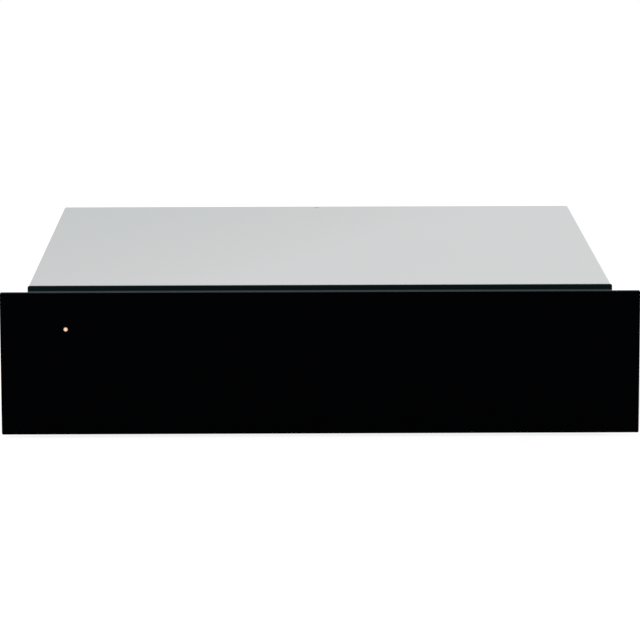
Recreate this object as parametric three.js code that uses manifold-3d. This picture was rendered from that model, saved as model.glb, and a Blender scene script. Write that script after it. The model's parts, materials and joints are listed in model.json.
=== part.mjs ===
// Built-in warming drawer for a 600 mm wide tall unit, 14 cm tall.
// Millimetres. X points right, Y to the back, Z up. The origin is at the middle of the underside.
import * as THREE from "three";
import { mergeVertices } from "three/addons/utils/BufferGeometryUtils.js";
import Module from "manifold-3d";

// ---- Driving dimensions ----

// Gaps
const FIT = 0.3; // between two pieces that touch

// Glass front and the pan behind it
const GLASS_BESIDE_PLATE = 25;
const GLASS_ABOVE_BASE = 2.9;
const GLASS_THICKNESS = 5;
const GLASS_CORNER = 1.5;
const GROUND_EDGE = 0.6; // the chamfer round the glass face
const PAN_DEPTH = 8.3;
const PAN_ABOVE_GLASS_FOOT = 2;
const PAN_BELOW_GLASS_TOP = 0.5;
const PAN_BESIDE_PLATE = 0.9; // from the top plate's side in to the pan

// Housing
const HOUSING_HEIGHT = 140;
const PLATE_WIDTH = 545;
const PLATE_LENGTH = 530;
const PLATE_ABOVE_GLASS = 3;
const PLATE_FLANGE = 12;
const SHEET = 1;
const BEND_RADIUS = 1.5;
const BASE_FLANGE = 7;
const SIDE_FLANGE = 9;
const BACK_TOP_FLANGE = 15;
const FIXING_HOLE = 5;
const FIXING_INSET = 18;
const PLATE_SCREW_INSET = 10;
const PLATE_SCREW_HEAD = 6;
const PLATE_SCREW_SHANK = 3;
const PLATE_SCREW_LENGTH = 9;
const VENT_LENGTH = 34;
const VENT_WIDTH = 4;
const VENT_PITCH = 44;
const VENT_ROW_PITCH = 11;

// Front frame and gasket
const FRAME_BESIDE_PLATE = 0.5;
const FRAME_THICKNESS = 2;
const FRAME_CORNER = 1.5;
const FRAME_BELOW_PLATE = 0.1;
const OPENING_BOTTOM = 8.4;
const FRAME_HEAD = 12; // from the opening to the top plate
const OPENING_CORNER = 3;
const GASKET_THICKNESS = 3.2;
const GASKET_WIDTH = 3.6;
const PUSH_TRAVEL = 3; // the drawer goes in this far to release the latch

// Drawer
const DRAWER_INSET = 24.5; // from the top plate's side to the tub, for the runner and its bracket
const DRAWER_UNDERSIDE = 10;
const UNDER_COVER_HEIGHT = 13.7;
const RIM_BELOW_PLATE = 28;
const RIM_FLANGE = 7;
const RIM_HEM = 5;
const FRONT_WALL_INSET = 2.5; // from the pan's sides
const FRONT_WALL_BELOW_GLASS = 1.6; // from the glass's top
const SPACE_BEHIND_DRAWER = 66.7;
const FAN_SPACE = 53;
const MAT_THICKNESS = 2.5;
const MAT_CORNER = 8;
const MAT_MARGIN = 1.5;

// Ball-bearing runners
const RUNNER_BEHIND = 69; // from the runner to the top plate's back edge
const RUNNER_OVERLAP = 10; // what stays in the housing when the drawer is out
const RUNNER_HEIGHT = 45;
const RUNNER_WIDTH = 12.7;
const RUNNER_INSET = 11; // from the top plate's front edge to the runner
const RUNNER_BELOW_RIM = 44; // from the drawer's rim to the runner's middle
const RAIL_SHEET = 1.2;
const BALL_DIAMETER = 3.2;
const BALLS_PER_ROW = 4;
const CAGE_SHEET = 0.4;
const CAGE_MARGIN = 5;
const BRACKET_SHEET = 1.5;
const BRACKET_FOOT = 10;
const BRACKET_HEIGHT = 72;
const BRACKET_WINDOWS = 3;
const WINDOW_SHARE = 0.54; // of its pitch along the bracket
const WINDOW_HEIGHT = 26;

// Fan, heater and what carries them
const FAN_TO_HEATER = 3.75;
const FAN_LENGTH = 18;
const FAN_BLADES = 14;
const BLADE_CHORD = 11;
const BLADE_THICKNESS = 0.9;
const FAN_DISC = 1.2;
const FAN_BEHIND_WALL = 5;
const HUB_DIAMETER = 13;
const SHAFT_DIAMETER = 5;
const BAFFLE_WIDTH = 240;
const BAFFLE_BEHIND_FAN = 3;
const BAFFLE_FOOT = 10;
const BAFFLE_HOLE = 12;
const HEATER_TO_TUB = 2;
const HEATER_TUBE = 6.5;
const HEATER_LEG_SPACING = 20;
const HEATER_LEG_REACH = 95;
const CORE_WIDTH = 62;
const CORE_HEIGHT = 44;
const CORE_STACK = 14;
const BEARING_DIAMETER = 22;
const BEARING_STANDS = 3.2;
const COIL_WIDTH = 22;
const COIL_HEIGHT = 24;
const CUTOUT_DIAMETER = 15;
const CUTOUT_HEIGHT = 8;

// Fan grille in the drawer's back wall
const GRILLE_RINGS = 4;
const GRILLE_SLOT_SHARE = 0.5; // of the rings' pitch
const GRILLE_SPOKE = 5;
const OUTLET_ROWS = 5;
const OUTLET_COLUMNS = 2;
const OUTLET_OFFSET = 150;

// Controls at the drawer's left front corner
const CONTROL_WIDTH = 56;
const CONTROL_DEPTH = 68;
const CONTROL_WALL = 2;
const FASCIA_BELOW_RIM = 1.7;
const FASCIA_THICKNESS = 2;
const FASCIA_CORNER = 5;
const KNOB_DIAMETER = 36;
const KNOB_HEIGHT = 12;
const KNOB_STANDS = 0.8;
const KNOB_OFF = 135; // degrees from straight back to where the knob points when off
const KNOB_FROM_BACK = 24;
const KNOB_SHAFT = 6;
const KNOB_SHAFT_LENGTH = 22;
const THERMOSTAT_WIDTH = 34;
const THERMOSTAT_DEPTH = 28;
const THERMOSTAT_HEIGHT = 20;
const BUSH_DIAMETER = 9;
const ROCKER_LENGTH = 21;
const ROCKER_WIDTH = 12;
const ROCKER_TILT = 7; // degrees either side of level
const ROCKER_BEFORE_KNOB = 28;
const SWITCH_DEPTH = 20;
const BEZEL_LIP = 1.6;
const BEZEL_THICKNESS = 1.4;
const LAMP_FROM_LEFT = 60.9;
const LAMP_BELOW_TOP = 34.5;
const LIGHT_GUIDE = 4;
const LAMP_DIAMETER = 6;
const LAMP_LENGTH = 14;
const LAMP_HOLDER = 10;

// Push-open latch behind the drawer
const LATCH_WIDTH = 34;
const LATCH_HEIGHT = 20;
const LATCH_LENGTH = 52;
const LATCH_BELOW_RIM = 52; // from the drawer's rim to the plunger's axis
const PLUNGER_DIAMETER = 10;
const PLUNGER_LENGTH = 46;
const TIP_DIAMETER = 14;
const TIP_THICKNESS = 4;
const STRIKER_SIZE = 34;
const STRIKER_THICKNESS = 1.5;
const LATCH_FOOT = 14;

// Mains connection at the back
const TERMINAL_BOX_WIDTH = 70;
const TERMINAL_BOX_DEPTH = 36;
const TERMINAL_BOX_HEIGHT = 38;
const TERMINAL_BOX_WALL = 2;
const TERMINAL_BOX_FROM_SIDE = 67.5; // from the top plate's side to the box's middle
const TERMINAL_BOX_BELOW_PLATE = 20;
const GLAND_DIAMETER = 16;
const GLAND_HEX = 24;
const GLAND_STANDS = 6; // behind the top plate's back edge
const GLAND_BORE = 7;
const GLAND_NUT = 5;
const TERMINAL_POLES = 5;
const POLE_PITCH = 9;
const LOOM_DIAMETER = 6.5;
const LOOM_BEND = 17;
const LOOM_REACH = 45; // how far across the supply loom's loop goes
const LOOM_BESIDE_BOX = 18; // where it enters the drawer

// ---- Places that follow from them ----

const GLASS_WIDTH = PLATE_WIDTH + 2 * GLASS_BESIDE_PLATE;
const GLASS_HEIGHT = HOUSING_HEIGHT - PLATE_ABOVE_GLASS - GLASS_ABOVE_BASE;
const PAN_WIDTH = PLATE_WIDTH - 2 * PAN_BESIDE_PLATE;
const FRAME_WIDTH = PLATE_WIDTH + 2 * FRAME_BESIDE_PLATE;
const DRAWER_WIDTH = PLATE_WIDTH - 2 * DRAWER_INSET;
const DRAWER_RIM = HOUSING_HEIGHT - RIM_BELOW_PLATE;
const RUNNER_LENGTH = PLATE_LENGTH - RUNNER_INSET - RUNNER_BEHIND;
const DRAWER_TRAVEL = RUNNER_LENGTH - RUNNER_OVERLAP;

const FRONT_STACK = GLASS_THICKNESS + FIT + PAN_DEPTH + FIT + SHEET;
const SETBACK = FRONT_STACK + PUSH_TRAVEL + FIT + GASKET_THICKNESS + FIT + FRAME_THICKNESS + FIT;
const GLASS_FACE = -(SETBACK + PLATE_LENGTH + GLAND_STANDS) / 2;
const GLASS_BACK = GLASS_FACE + GLASS_THICKNESS;
const PAN_FRONT = GLASS_BACK + FIT;
const PAN_BACK = PAN_FRONT + PAN_DEPTH;
const FRONT_WALL = PAN_BACK + FIT; // front face of the drawer's inner front wall
const DRAWER_FRONT = FRONT_WALL + SHEET + FIT; // where the tub starts
const GASKET_FRONT = FRONT_WALL + SHEET + PUSH_TRAVEL + FIT;
const FRAME_FRONT = GASKET_FRONT + GASKET_THICKNESS + FIT;
const FRAME_BACK = FRAME_FRONT + FRAME_THICKNESS;
const PLATE_FRONT = FRAME_BACK + FIT;
const PLATE_BACK = PLATE_FRONT + PLATE_LENGTH;
const BACK_PANEL = PLATE_BACK - SHEET - FIT - SHEET; // inner face of the back panel
const DRAWER_BACK = BACK_PANEL - SPACE_BEHIND_DRAWER; // outer face of the drawer's rear cover
const BACK_WALL = DRAWER_BACK - FAN_SPACE - SHEET; // front face of the drawer's back wall

const GLASS_TOP = HOUSING_HEIGHT - PLATE_ABOVE_GLASS;
const GLASS_FOOT = GLASS_TOP - GLASS_HEIGHT;
const SIDE_FACE = PLATE_WIDTH / 2 - SHEET - FIT; // outer face of a side panel
const SIDE_BOTTOM = SHEET + FIT;
const SIDE_TOP = HOUSING_HEIGHT - SHEET - FIT;
const TUB_SIDE = DRAWER_WIDTH / 2;
const TUB_INSIDE = TUB_SIDE - SHEET - FIT;
const RUNNER_FACE = TUB_SIDE + FIT + RUNNER_WIDTH; // where the outer rail meets its bracket
const OPENING_TOP = HOUSING_HEIGHT - FRAME_HEAD;
const OPENING_HALF = RUNNER_FACE; // the frame's opening lets the middle rail through
const RUNNER_FRONT = PLATE_FRONT + RUNNER_INSET;
const RUNNER_CENTRE = DRAWER_RIM - RUNNER_BELOW_RIM;
const FLOOR_UNDERSIDE = DRAWER_UNDERSIDE + UNDER_COVER_HEIGHT + FIT;
const ON_FLOOR = FLOOR_UNDERSIDE + SHEET + FIT; // lowest height of what stands on the tub's floor
const COVER_TOP = DRAWER_RIM - SHEET - RAIL_SHEET; // top of the rear cover, under the rim
const FAN_AXIS_HEIGHT = (ON_FLOOR + COVER_TOP) / 2;
const HEATER_RADIUS = (COVER_TOP - ON_FLOOR - HEATER_TUBE) / 2 - HEATER_TO_TUB;
const FAN_DIAMETER = 2 * (HEATER_RADIUS - FAN_TO_HEATER) - HEATER_TUBE;
const GRILLE_RING_PITCH = FAN_DIAMETER / 2 / (GRILLE_RINGS - 0.25);
const GRILLE_SLOT = GRILLE_RING_PITCH * GRILLE_SLOT_SHARE;
const FAN_FRONT = BACK_WALL + SHEET + FAN_BEHIND_WALL;
const FAN_BACK = FAN_FRONT + FAN_LENGTH;
const BAFFLE_FRONT = FAN_BACK + BAFFLE_BEHIND_FAN;
const BAFFLE_BACK = BAFFLE_FRONT + SHEET;

const CONTROL_LEFT = -TUB_INSIDE;
const CONTROL_RIGHT = CONTROL_LEFT + CONTROL_WIDTH;
const CONTROL_BACK = DRAWER_FRONT + CONTROL_DEPTH;
const FASCIA_TOP = DRAWER_RIM - FASCIA_BELOW_RIM;
const FASCIA_UNDERSIDE = FASCIA_TOP - FASCIA_THICKNESS;
const CONTROL_TOP = FASCIA_UNDERSIDE - FIT;
const KNOB_X = (CONTROL_LEFT + CONTROL_RIGHT) / 2;
const KNOB_Y = CONTROL_BACK - KNOB_FROM_BACK;
const ROCKER_X = KNOB_X + 4;
const ROCKER_Y = KNOB_Y - ROCKER_BEFORE_KNOB;
const ROCKER_PIVOT = FASCIA_TOP - 0.3;
const LAMP_X = -GLASS_WIDTH / 2 + LAMP_FROM_LEFT;
const LAMP_Z = GLASS_TOP - LAMP_BELOW_TOP;

const LATCH_CENTRE = DRAWER_RIM - LATCH_BELOW_RIM;
const STRIKER_BACK = DRAWER_BACK + FIT + STRIKER_THICKNESS;
const TIP_FRONT = STRIKER_BACK + PUSH_TRAVEL + FIT;
const PLUNGER_FRONT = TIP_FRONT + TIP_THICKNESS + FIT;
const LATCH_BACK = BACK_PANEL - 3;
const LATCH_FRONT = LATCH_BACK - LATCH_LENGTH;
const TERMINAL_BOX_MIDDLE = -PLATE_WIDTH / 2 + TERMINAL_BOX_FROM_SIDE;
const TERMINAL_BOX_BOTTOM = HOUSING_HEIGHT - TERMINAL_BOX_BELOW_PLATE - TERMINAL_BOX_HEIGHT;
const BOX_LEFT = TERMINAL_BOX_MIDDLE - TERMINAL_BOX_WIDTH / 2;
const BOX_RIGHT = TERMINAL_BOX_MIDDLE + TERMINAL_BOX_WIDTH / 2;
const BOX_BACK = BACK_PANEL - FIT;
const BOX_FRONT = BOX_BACK - TERMINAL_BOX_DEPTH;
const BOX_TOP = TERMINAL_BOX_BOTTOM + TERMINAL_BOX_HEIGHT;
const GLAND_HEIGHT = TERMINAL_BOX_BOTTOM + TERMINAL_BOX_HEIGHT / 2;
const LOOM_HEIGHT = GLAND_HEIGHT;
const LOOM_ENTRY = BOX_RIGHT + LOOM_BESIDE_BOX; // across

// ---- Finishes ----

const GLASS_BLACK = { color: 0x020305, roughness: 0.04, metalness: 0 };
const CLEAR = { color: 0xdfe8ea, roughness: 0.08, metalness: 0 };
const NEON = { color: 0xff8a3c, roughness: 0.2, metalness: 0 };
const SATIN_STEEL = { color: 0xcbccce, roughness: 0.42, metalness: 0.35 };
const STAINLESS = { color: 0xb4b6b8, roughness: 0.3, metalness: 0.9 };
const ZINC = { color: 0xa9adb0, roughness: 0.4, metalness: 0.8 };
const DARK_ENAMEL = { color: 0x121c1b, roughness: 0.45, metalness: 0.1 };
const GREY_PAINT = { color: 0x33393c, roughness: 0.55, metalness: 0.1 };
const BLACK_RUBBER = { color: 0x17181a, roughness: 0.85, metalness: 0 };
const BLACK_PLASTIC = { color: 0x1b1c1e, roughness: 0.5, metalness: 0 };
const GREY_PLASTIC = { color: 0x8b8e90, roughness: 0.55, metalness: 0 };
const WOOL = { color: 0xd8d2c0, roughness: 1, metalness: 0 };
const COPPER = { color: 0xa85a32, roughness: 0.35, metalness: 0.8 };
const CORE_STEEL = { color: 0x5c5f61, roughness: 0.5, metalness: 0.7 };
const HEATER_STEEL = { color: 0x6f6a62, roughness: 0.5, metalness: 0.7 };
const BRIGHT_STEEL = { color: 0xd0d2d4, roughness: 0.15, metalness: 1 };

// ---- Working with solids ----

const wasm = await Module();
wasm.setup();

function solidOf(geometry) {
  const bare = geometry.clone();
  bare.deleteAttribute("normal");
  bare.deleteAttribute("uv");
  const merged = mergeVertices(bare, 1e-4);
  return new wasm.Manifold(
    new wasm.Mesh({
      numProp: 3,
      vertProperties: merged.attributes.position.array,
      triVerts: new Uint32Array(merged.index.array),
    }),
  );
}

function geometryOf(solid) {
  const mesh = solid.getMesh();
  const geometry = new THREE.BufferGeometry();
  geometry.setAttribute("position", new THREE.BufferAttribute(mesh.vertProperties, 3));
  geometry.setIndex(new THREE.BufferAttribute(mesh.triVerts, 1));
  geometry.computeVertexNormals();
  return geometry;
}

const combine = (operation) => (first, ...others) =>
  geometryOf(others.reduce((made, next) => made[operation](solidOf(next)), solidOf(first)));
const cut = combine("subtract");
const join = combine("add");
const common = combine("intersect");

const line = (...corners) => corners.map(([x, y]) => new THREE.Vector2(x, y));
const radians = THREE.MathUtils.degToRad;
const range = (count) => Array.from({ length: count }, (_, index) => index);
const spread = (count, pitch) => range(count).map((index) => (index - (count - 1) / 2) * pitch);

// A box between two corners.
function block([x0, x1], [y0, y1], [z0, z1]) {
  const box = new THREE.BoxGeometry(x1 - x0, y1 - y0, z1 - z0);
  return box.translate((x0 + x1) / 2, (y0 + y1) / 2, (z0 + z1) / 2);
}

// Turns a form's own x, y and z axes to the three given directions.
function turnedTo(geometry, x, y, z) {
  const axes = [x, y, z].map((axis) => new THREE.Vector3(...axis));
  return geometry.applyMatrix4(new THREE.Matrix4().makeBasis(...axes));
}

// A flat outline drawn out along an axis. Along "z" the outline lies in x and y, along "y" in x and z,
// and along "x" in y and z.
function extruded(outline, along, [from, to], curveSegments = 4) {
  const shape = Array.isArray(outline) ? new THREE.Shape(outline) : outline;
  const options = { depth: to - from, bevelEnabled: false, curveSegments };
  const form = new THREE.ExtrudeGeometry(shape, options);
  if (along === "y") return form.rotateX(Math.PI / 2).translate(0, to, 0);
  if (along === "x") return turnedTo(form, [0, 1, 0], [0, 0, 1], [1, 0, 0]).translate(from, 0, 0);
  return form.translate(0, 0, from);
}

function roundedRectangle([x0, x1], [y0, y1], radius) {
  const shape = new THREE.Shape();
  const quarter = Math.PI / 2;
  shape.absarc(x1 - radius, y0 + radius, radius, -quarter, 0);
  shape.absarc(x1 - radius, y1 - radius, radius, 0, quarter);
  shape.absarc(x0 + radius, y1 - radius, radius, quarter, 2 * quarter);
  shape.absarc(x0 + radius, y0 + radius, radius, 2 * quarter, 3 * quarter);
  return shape;
}

// A round bar or drill along an axis.
function bar(along, radius, [from, to], [u, v], sides = 20) {
  const circle = new THREE.Shape();
  circle.absarc(u, v, radius, 0, 2 * Math.PI);
  return extruded(circle.getPoints(sides / 2).slice(0, -1), along, [from, to]);
}

// A form turned on a lathe, about the z axis, from its half section in (radius, height).
function turned(section, sides = 24) {
  return new THREE.LatheGeometry(line(...section), sides).rotateX(Math.PI / 2);
}

// A tube of one diameter along a curve.
function tube(curve, diameter, steps, sides = 6) {
  const ring = new THREE.Shape();
  ring.absarc(0, 0, diameter / 2, 0, 2 * Math.PI);
  const options = { extrudePath: curve, steps, bevelEnabled: false, curveSegments: sides / 2 };
  return new THREE.ExtrudeGeometry(ring, options);
}

function arcLine(centre, radius, from, to, steps) {
  return range(steps + 1).map((step) => {
    const angle = from + ((to - from) * step) / steps;
    return new THREE.Vector2(radius, 0).rotateAround(new THREE.Vector2(), angle).add(centre);
  });
}

// ---- Folded sheet ----

// The same line with each of its corners bent on a radius.
function bent(corners, radius, steps = 3) {
  const points = [corners[0]];
  for (const index of range(corners.length - 2)) {
    const [before, corner, after] = corners.slice(index, index + 3);
    const back = before.clone().sub(corner).normalize();
    const on = after.clone().sub(corner).normalize();
    const reach = radius / Math.tan(back.angleTo(on) / 2);
    const start = corner.clone().addScaledVector(back, reach);
    const end = corner.clone().addScaledVector(on, reach);
    points.push(...new THREE.QuadraticBezierCurve(start, corner, end).getPoints(steps));
  }
  return [...points, corners.at(-1)];
}

// The outline of a sheet whose middle follows a line.
function sheetOutline(middle, thickness) {
  const across = middle.slice(1).map((point, index) => {
    const along = point.clone().sub(middle[index]).normalize();
    return new THREE.Vector2(-along.y, along.x);
  });
  const side = (sign) =>
    middle.map((point, index) => {
      const before = across[Math.max(index - 1, 0)];
      const after = across[Math.min(index, across.length - 1)];
      const mitre = before.clone().add(after).divideScalar(1 + before.dot(after));
      return point.clone().addScaledVector(mitre, (sign * thickness) / 2);
    });
  return [...side(1), ...side(-1).reverse()];
}

function folded(corners, thickness, along, span, radius = BEND_RADIUS) {
  return extruded(sheetOutline(bent(line(...corners), radius), thickness), along, span);
}

// A tray folded from one sheet, with flanges on all four sides. Its flat face lies at the named side
// of the space that it fills.
const TRAY_AXES = {
  top: [[1, 0, 0], [0, 1, 0], [0, 0, 1]],
  bottom: [[1, 0, 0], [0, -1, 0], [0, 0, -1]],
  front: [[1, 0, 0], [0, 0, 1], [0, -1, 0]],
  right: [[0, 1, 0], [0, 0, 1], [1, 0, 0]],
};

function tray(face, [x0, x1], [y0, y1], [z0, z1], sheet = SHEET) {
  const size = new THREE.Vector3(x1 - x0, y1 - y0, z1 - z0);
  const [width, length, depth] = TRAY_AXES[face].map((axis) =>
    Math.abs(size.dot(new THREE.Vector3(...axis))),
  );
  // The block of one bend radius that the tray wraps, drawn in by the sheet for its inside.
  const wrapped = (inset) => {
    const radius = BEND_RADIUS + sheet - inset;
    const below = -depth / 2 - inset;
    const above = depth / 2 - inset;
    const section = (half) =>
      bent(line([-half, below], [-half, above], [half, above], [half, below]), radius);
    const across = extruded(section(width / 2 - inset), "y", [inset - length / 2, length / 2 - inset]);
    const along = extruded(section(length / 2 - inset), "x", [inset - width / 2, width / 2 - inset]);
    return common(across, along);
  };
  const form = turnedTo(cut(wrapped(0), wrapped(sheet)), ...TRAY_AXES[face]);
  return form.translate((x0 + x1) / 2, (y0 + y1) / 2, (z0 + z1) / 2);
}

// Drills for rows of long round-ended slots, through a sheet square to the named axis.
function slots(along, through, columns, rows, [length, width]) {
  const reach = (length - width) / 2;
  const quarter = Math.PI / 2;
  return rows.flatMap((v) =>
    columns.map((u) => {
      const right = arcLine(new THREE.Vector2(u + reach, v), width / 2, -quarter, quarter, 3);
      const left = arcLine(new THREE.Vector2(u - reach, v), width / 2, quarter, 3 * quarter, 3);
      return extruded([...right, ...left], along, through);
    }),
  );
}

// ---- The assembly ----

const warmingDrawer = new THREE.Group();
const housing = new THREE.Group();
const drawer = new THREE.Group();
warmingDrawer.add(housing, drawer);

function piece(parent, name, geometry, finish) {
  const mesh = new THREE.Mesh(geometry, new THREE.MeshStandardMaterial(finish));
  mesh.name = name;
  parent.add(mesh);
  return mesh;
}

// What stands at both sides is built for the right, and mirrored for the left.
function bothSides(parent, build) {
  for (const [side, sign] of Object.entries({ left: -1, right: 1 })) {
    const half = new THREE.Group();
    half.scale.x = sign;
    parent.add(half);
    build(half, side);
  }
}

// ---- Housing ----

function makeTopPlate() {
  const screwAt = [0, PLATE_BACK - PLATE_SCREW_INSET];
  const edges = [-PLATE_WIDTH / 2, PLATE_WIDTH / 2];
  const heights = [HOUSING_HEIGHT - PLATE_FLANGE, HOUSING_HEIGHT];
  const plate = tray("top", edges, [PLATE_FRONT, PLATE_BACK], heights);
  const head = PLATE_SCREW_HEAD / 2;
  const shank = PLATE_SCREW_SHANK / 2;
  // A countersunk screw, and the same form one gap larger for its hole.
  const screw = (gap) =>
    turned([
      [0, -PLATE_SCREW_LENGTH - gap],
      [shank + gap, -PLATE_SCREW_LENGTH - gap],
      [shank + gap, shank - head],
      [head + gap, 0],
      [0, 0],
    ], 16).translate(...screwAt, HOUSING_HEIGHT);
  piece(housing, "top_plate", cut(plate, screw(FIT)), SATIN_STEEL);
  piece(housing, "top_plate_screw", screw(0).translate(0, 0, -FIT / 2), ZINC);
  return screw(FIT);
}

function makeBasePan() {
  const edges = [-PLATE_WIDTH / 2, PLATE_WIDTH / 2];
  const pan = tray("bottom", edges, [PLATE_FRONT, PLATE_BACK], [0, BASE_FLANGE]);
  const columns = spread(4, VENT_PITCH * 2);
  const rows = [-VENT_PITCH, VENT_PITCH].map((row) => row * 2);
  const vents = slots("z", [-SHEET, 2 * SHEET], columns, rows, [VENT_LENGTH, VENT_WIDTH]);
  piece(housing, "base_pan", cut(pan, ...vents), ZINC);
}

function makeSidePanels() {
  const depths = [PLATE_FRONT + SHEET + BEND_RADIUS, BACK_PANEL - FIT];
  const panel = tray("right", [SIDE_FACE - SIDE_FLANGE, SIDE_FACE], depths, [SIDE_BOTTOM, SIDE_TOP]);
  const through = [SIDE_FACE - 2 * SHEET, SIDE_FACE + SHEET];
  const fixingAt = PLATE_FRONT + FIXING_INSET;
  const fixings = [0.2, 0.8].map((share) =>
    bar("x", FIXING_HOLE / 2, through, [fixingAt, HOUSING_HEIGHT * share], 12),
  );
  const ventAt = RUNNER_CENTRE - BRACKET_HEIGHT / 2 - VENT_ROW_PITCH;
  const vents = slots("x", through, spread(5, VENT_PITCH), [ventAt], [VENT_LENGTH, VENT_WIDTH]);
  bothSides(housing, (half, side) => {
    piece(half, `side_panel_${side}`, cut(panel, ...fixings, ...vents), ZINC);
  });
}

function makeBackPanel(screwHole) {
  const middle = BACK_PANEL + SHEET / 2;
  const top = SIDE_TOP - SHEET / 2;
  const foot = SIDE_BOTTOM + BEND_RADIUS;
  const corners = [[BACK_PANEL - BACK_TOP_FLANGE, top], [middle, top], [middle, foot]];
  const half = SIDE_FACE - BEND_RADIUS;
  const sheet = folded(corners, SHEET, "x", [-half, half]);
  // The top flange stops short of the side panels' own flanges.
  const flangeEnd = SIDE_FACE - SIDE_FLANGE - 2 * FIT;
  const beforePanel = [BACK_PANEL - BACK_TOP_FLANGE - 1, BACK_PANEL - FIT / 2];
  const notches = [[-SIDE_FACE - 1, -flangeEnd], [flangeEnd, SIDE_FACE + 1]].map((span) =>
    block(span, beforePanel, [SIDE_TOP - 3 * SHEET, SIDE_TOP + 1]),
  );
  const through = [BACK_PANEL - SHEET, BACK_PANEL + 2 * SHEET];
  const inlet = bar("y", GLAND_DIAMETER / 2 + FIT, through, [TERMINAL_BOX_MIDDLE, GLAND_HEIGHT]);
  const rows = spread(2, VENT_ROW_PITCH).map((row) => row + HOUSING_HEIGHT / 4);
  const vents = slots("y", through, spread(6, VENT_PITCH), rows, [VENT_LENGTH, VENT_WIDTH]);
  piece(housing, "back_panel", cut(sheet, screwHole, inlet, ...notches, ...vents), ZINC);
}

// The dark frame round the drawer's opening, with its two upper corners rounded.
function makeFrontFrame() {
  const half = FRAME_WIDTH / 2;
  const top = HOUSING_HEIGHT - FRAME_BELOW_PLATE;
  const outline = new THREE.Shape();
  outline.moveTo(-half, 0);
  outline.lineTo(half, 0);
  outline.absarc(half - FRAME_CORNER, top - FRAME_CORNER, FRAME_CORNER, 0, Math.PI / 2);
  outline.absarc(-half + FRAME_CORNER, top - FRAME_CORNER, FRAME_CORNER, Math.PI / 2, Math.PI);
  const opening = [-OPENING_HALF, OPENING_HALF];
  const heights = [OPENING_BOTTOM, OPENING_TOP];
  outline.holes.push(roundedRectangle(opening, heights, OPENING_CORNER));
  piece(housing, "front_frame", extruded(outline, "y", [FRAME_FRONT, FRAME_BACK]), DARK_ENAMEL);

  const inner = [OPENING_HALF + 1, OPENING_BOTTOM - 1, OPENING_TOP + 1];
  const ring = (grow) => {
    const halfWidth = inner[0] + grow;
    const span = [inner[1] - grow, inner[2] + grow];
    return roundedRectangle([-halfWidth, halfWidth], span, OPENING_CORNER + grow);
  };
  const gasket = ring(GASKET_WIDTH);
  gasket.holes.push(ring(0));
  const depths = [GASKET_FRONT, GASKET_FRONT + GASKET_THICKNESS];
  piece(housing, "frame_gasket", extruded(gasket, "y", depths), BLACK_RUBBER);
}

// ---- Runners ----

// The runner's section lies across it: u goes from the housing to the drawer, v up from its middle.
// A ball rolls in a race at each side, so all races are arcs about the balls' centres.
const BALL_PLAY = FIT;
const RACE = BALL_DIAMETER / 2 + BALL_PLAY + RAIL_SHEET / 2;
const OUTER_WEB = RAIL_SHEET / 2;
const OUTER_CAGE_WEB = RAIL_SHEET + FIT + CAGE_SHEET / 2;
const MIDDLE_WEB = OUTER_CAGE_WEB + CAGE_SHEET / 2 + FIT + RAIL_SHEET / 2;
const INNER_CAGE_WEB = MIDDLE_WEB + RAIL_SHEET / 2 + FIT + CAGE_SHEET / 2;
const INNER_WEB = RUNNER_WIDTH - RAIL_SHEET / 2;
const OUTER_BALL = new THREE.Vector2(OUTER_WEB + RACE, RUNNER_HEIGHT / 2 - RAIL_SHEET / 2 - RACE);
const BALL_TO_BALL = radians(-35); // the middle rail's sheet passes between the two balls
const INNER_BALL = arcLine(OUTER_BALL, 2 * RACE, BALL_TO_BALL, BALL_TO_BALL, 1)[0];

// A whole section from its upper half, which starts at the web's middle.
function mirroredUp(upper) {
  const lower = upper.slice(1).map((point) => new THREE.Vector2(point.x, -point.y));
  return [...lower.reverse(), ...upper.slice(1)];
}

function outerRailLine() {
  return mirroredUp([
    new THREE.Vector2(OUTER_WEB, 0),
    ...arcLine(OUTER_BALL, RACE, Math.PI, radians(25), 7),
  ]);
}

function middleRailLine() {
  const foot = -Math.acos((MIDDLE_WEB - OUTER_BALL.x) / RACE);
  return mirroredUp([
    new THREE.Vector2(MIDDLE_WEB, 0),
    ...arcLine(OUTER_BALL, RACE, foot, BALL_TO_BALL, 4),
    ...arcLine(INNER_BALL, RACE, Math.PI + BALL_TO_BALL, radians(10), 6).slice(1),
  ]);
}

function innerRailLine() {
  return mirroredUp([
    new THREE.Vector2(INNER_WEB, 0),
    new THREE.Vector2(INNER_WEB, INNER_BALL.y - RACE),
    ...arcLine(INNER_BALL, RACE, -Math.PI / 2, radians(-145), 3),
  ]);
}

// A cage's strip lies between two rails and passes through the balls that it spaces.
function cageLine(web, ball, bend, end) {
  const beside = ([u, v]) => new THREE.Vector2(ball.x + u * RACE, ball.y + v * RACE);
  const onWeb = new THREE.Vector2(web, ball.y + bend[0] * RACE);
  const kinks = bend.slice(1).map(beside);
  return mirroredUp([new THREE.Vector2(web, 0), onWeb, ...kinks, ball, beside(end)]);
}

const outerCageLine = cageLine(OUTER_CAGE_WEB, OUTER_BALL, [-0.72], [0.72, 0.08]);
const innerCageLine = cageLine(INNER_CAGE_WEB, INNER_BALL, [-0.61, [-0.76, -0.11]], [0.76, -0.13]);

function makeRail(section, thickness, [front, back]) {
  return extruded(sheetOutline(section, thickness), "y", [front, back]);
}

function makeCage(section, ball) {
  const quarter = DRAWER_TRAVEL / 4;
  const front = RUNNER_FRONT + quarter + CAGE_MARGIN;
  const back = RUNNER_FRONT + RUNNER_LENGTH - quarter - CAGE_MARGIN;
  const pitch = (back - front - 4 * BALL_DIAMETER) / (BALLS_PER_ROW - 1);
  const balls = spread(BALLS_PER_ROW, pitch).flatMap((along) =>
    [-1, 1].map((row) =>
      new THREE.SphereGeometry(BALL_DIAMETER / 2, 6, 4)
        .translate(ball.x, (front + back) / 2 + along, row * ball.y),
    ),
  );
  return join(makeRail(section, CAGE_SHEET, [front, back]), ...balls);
}

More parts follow.
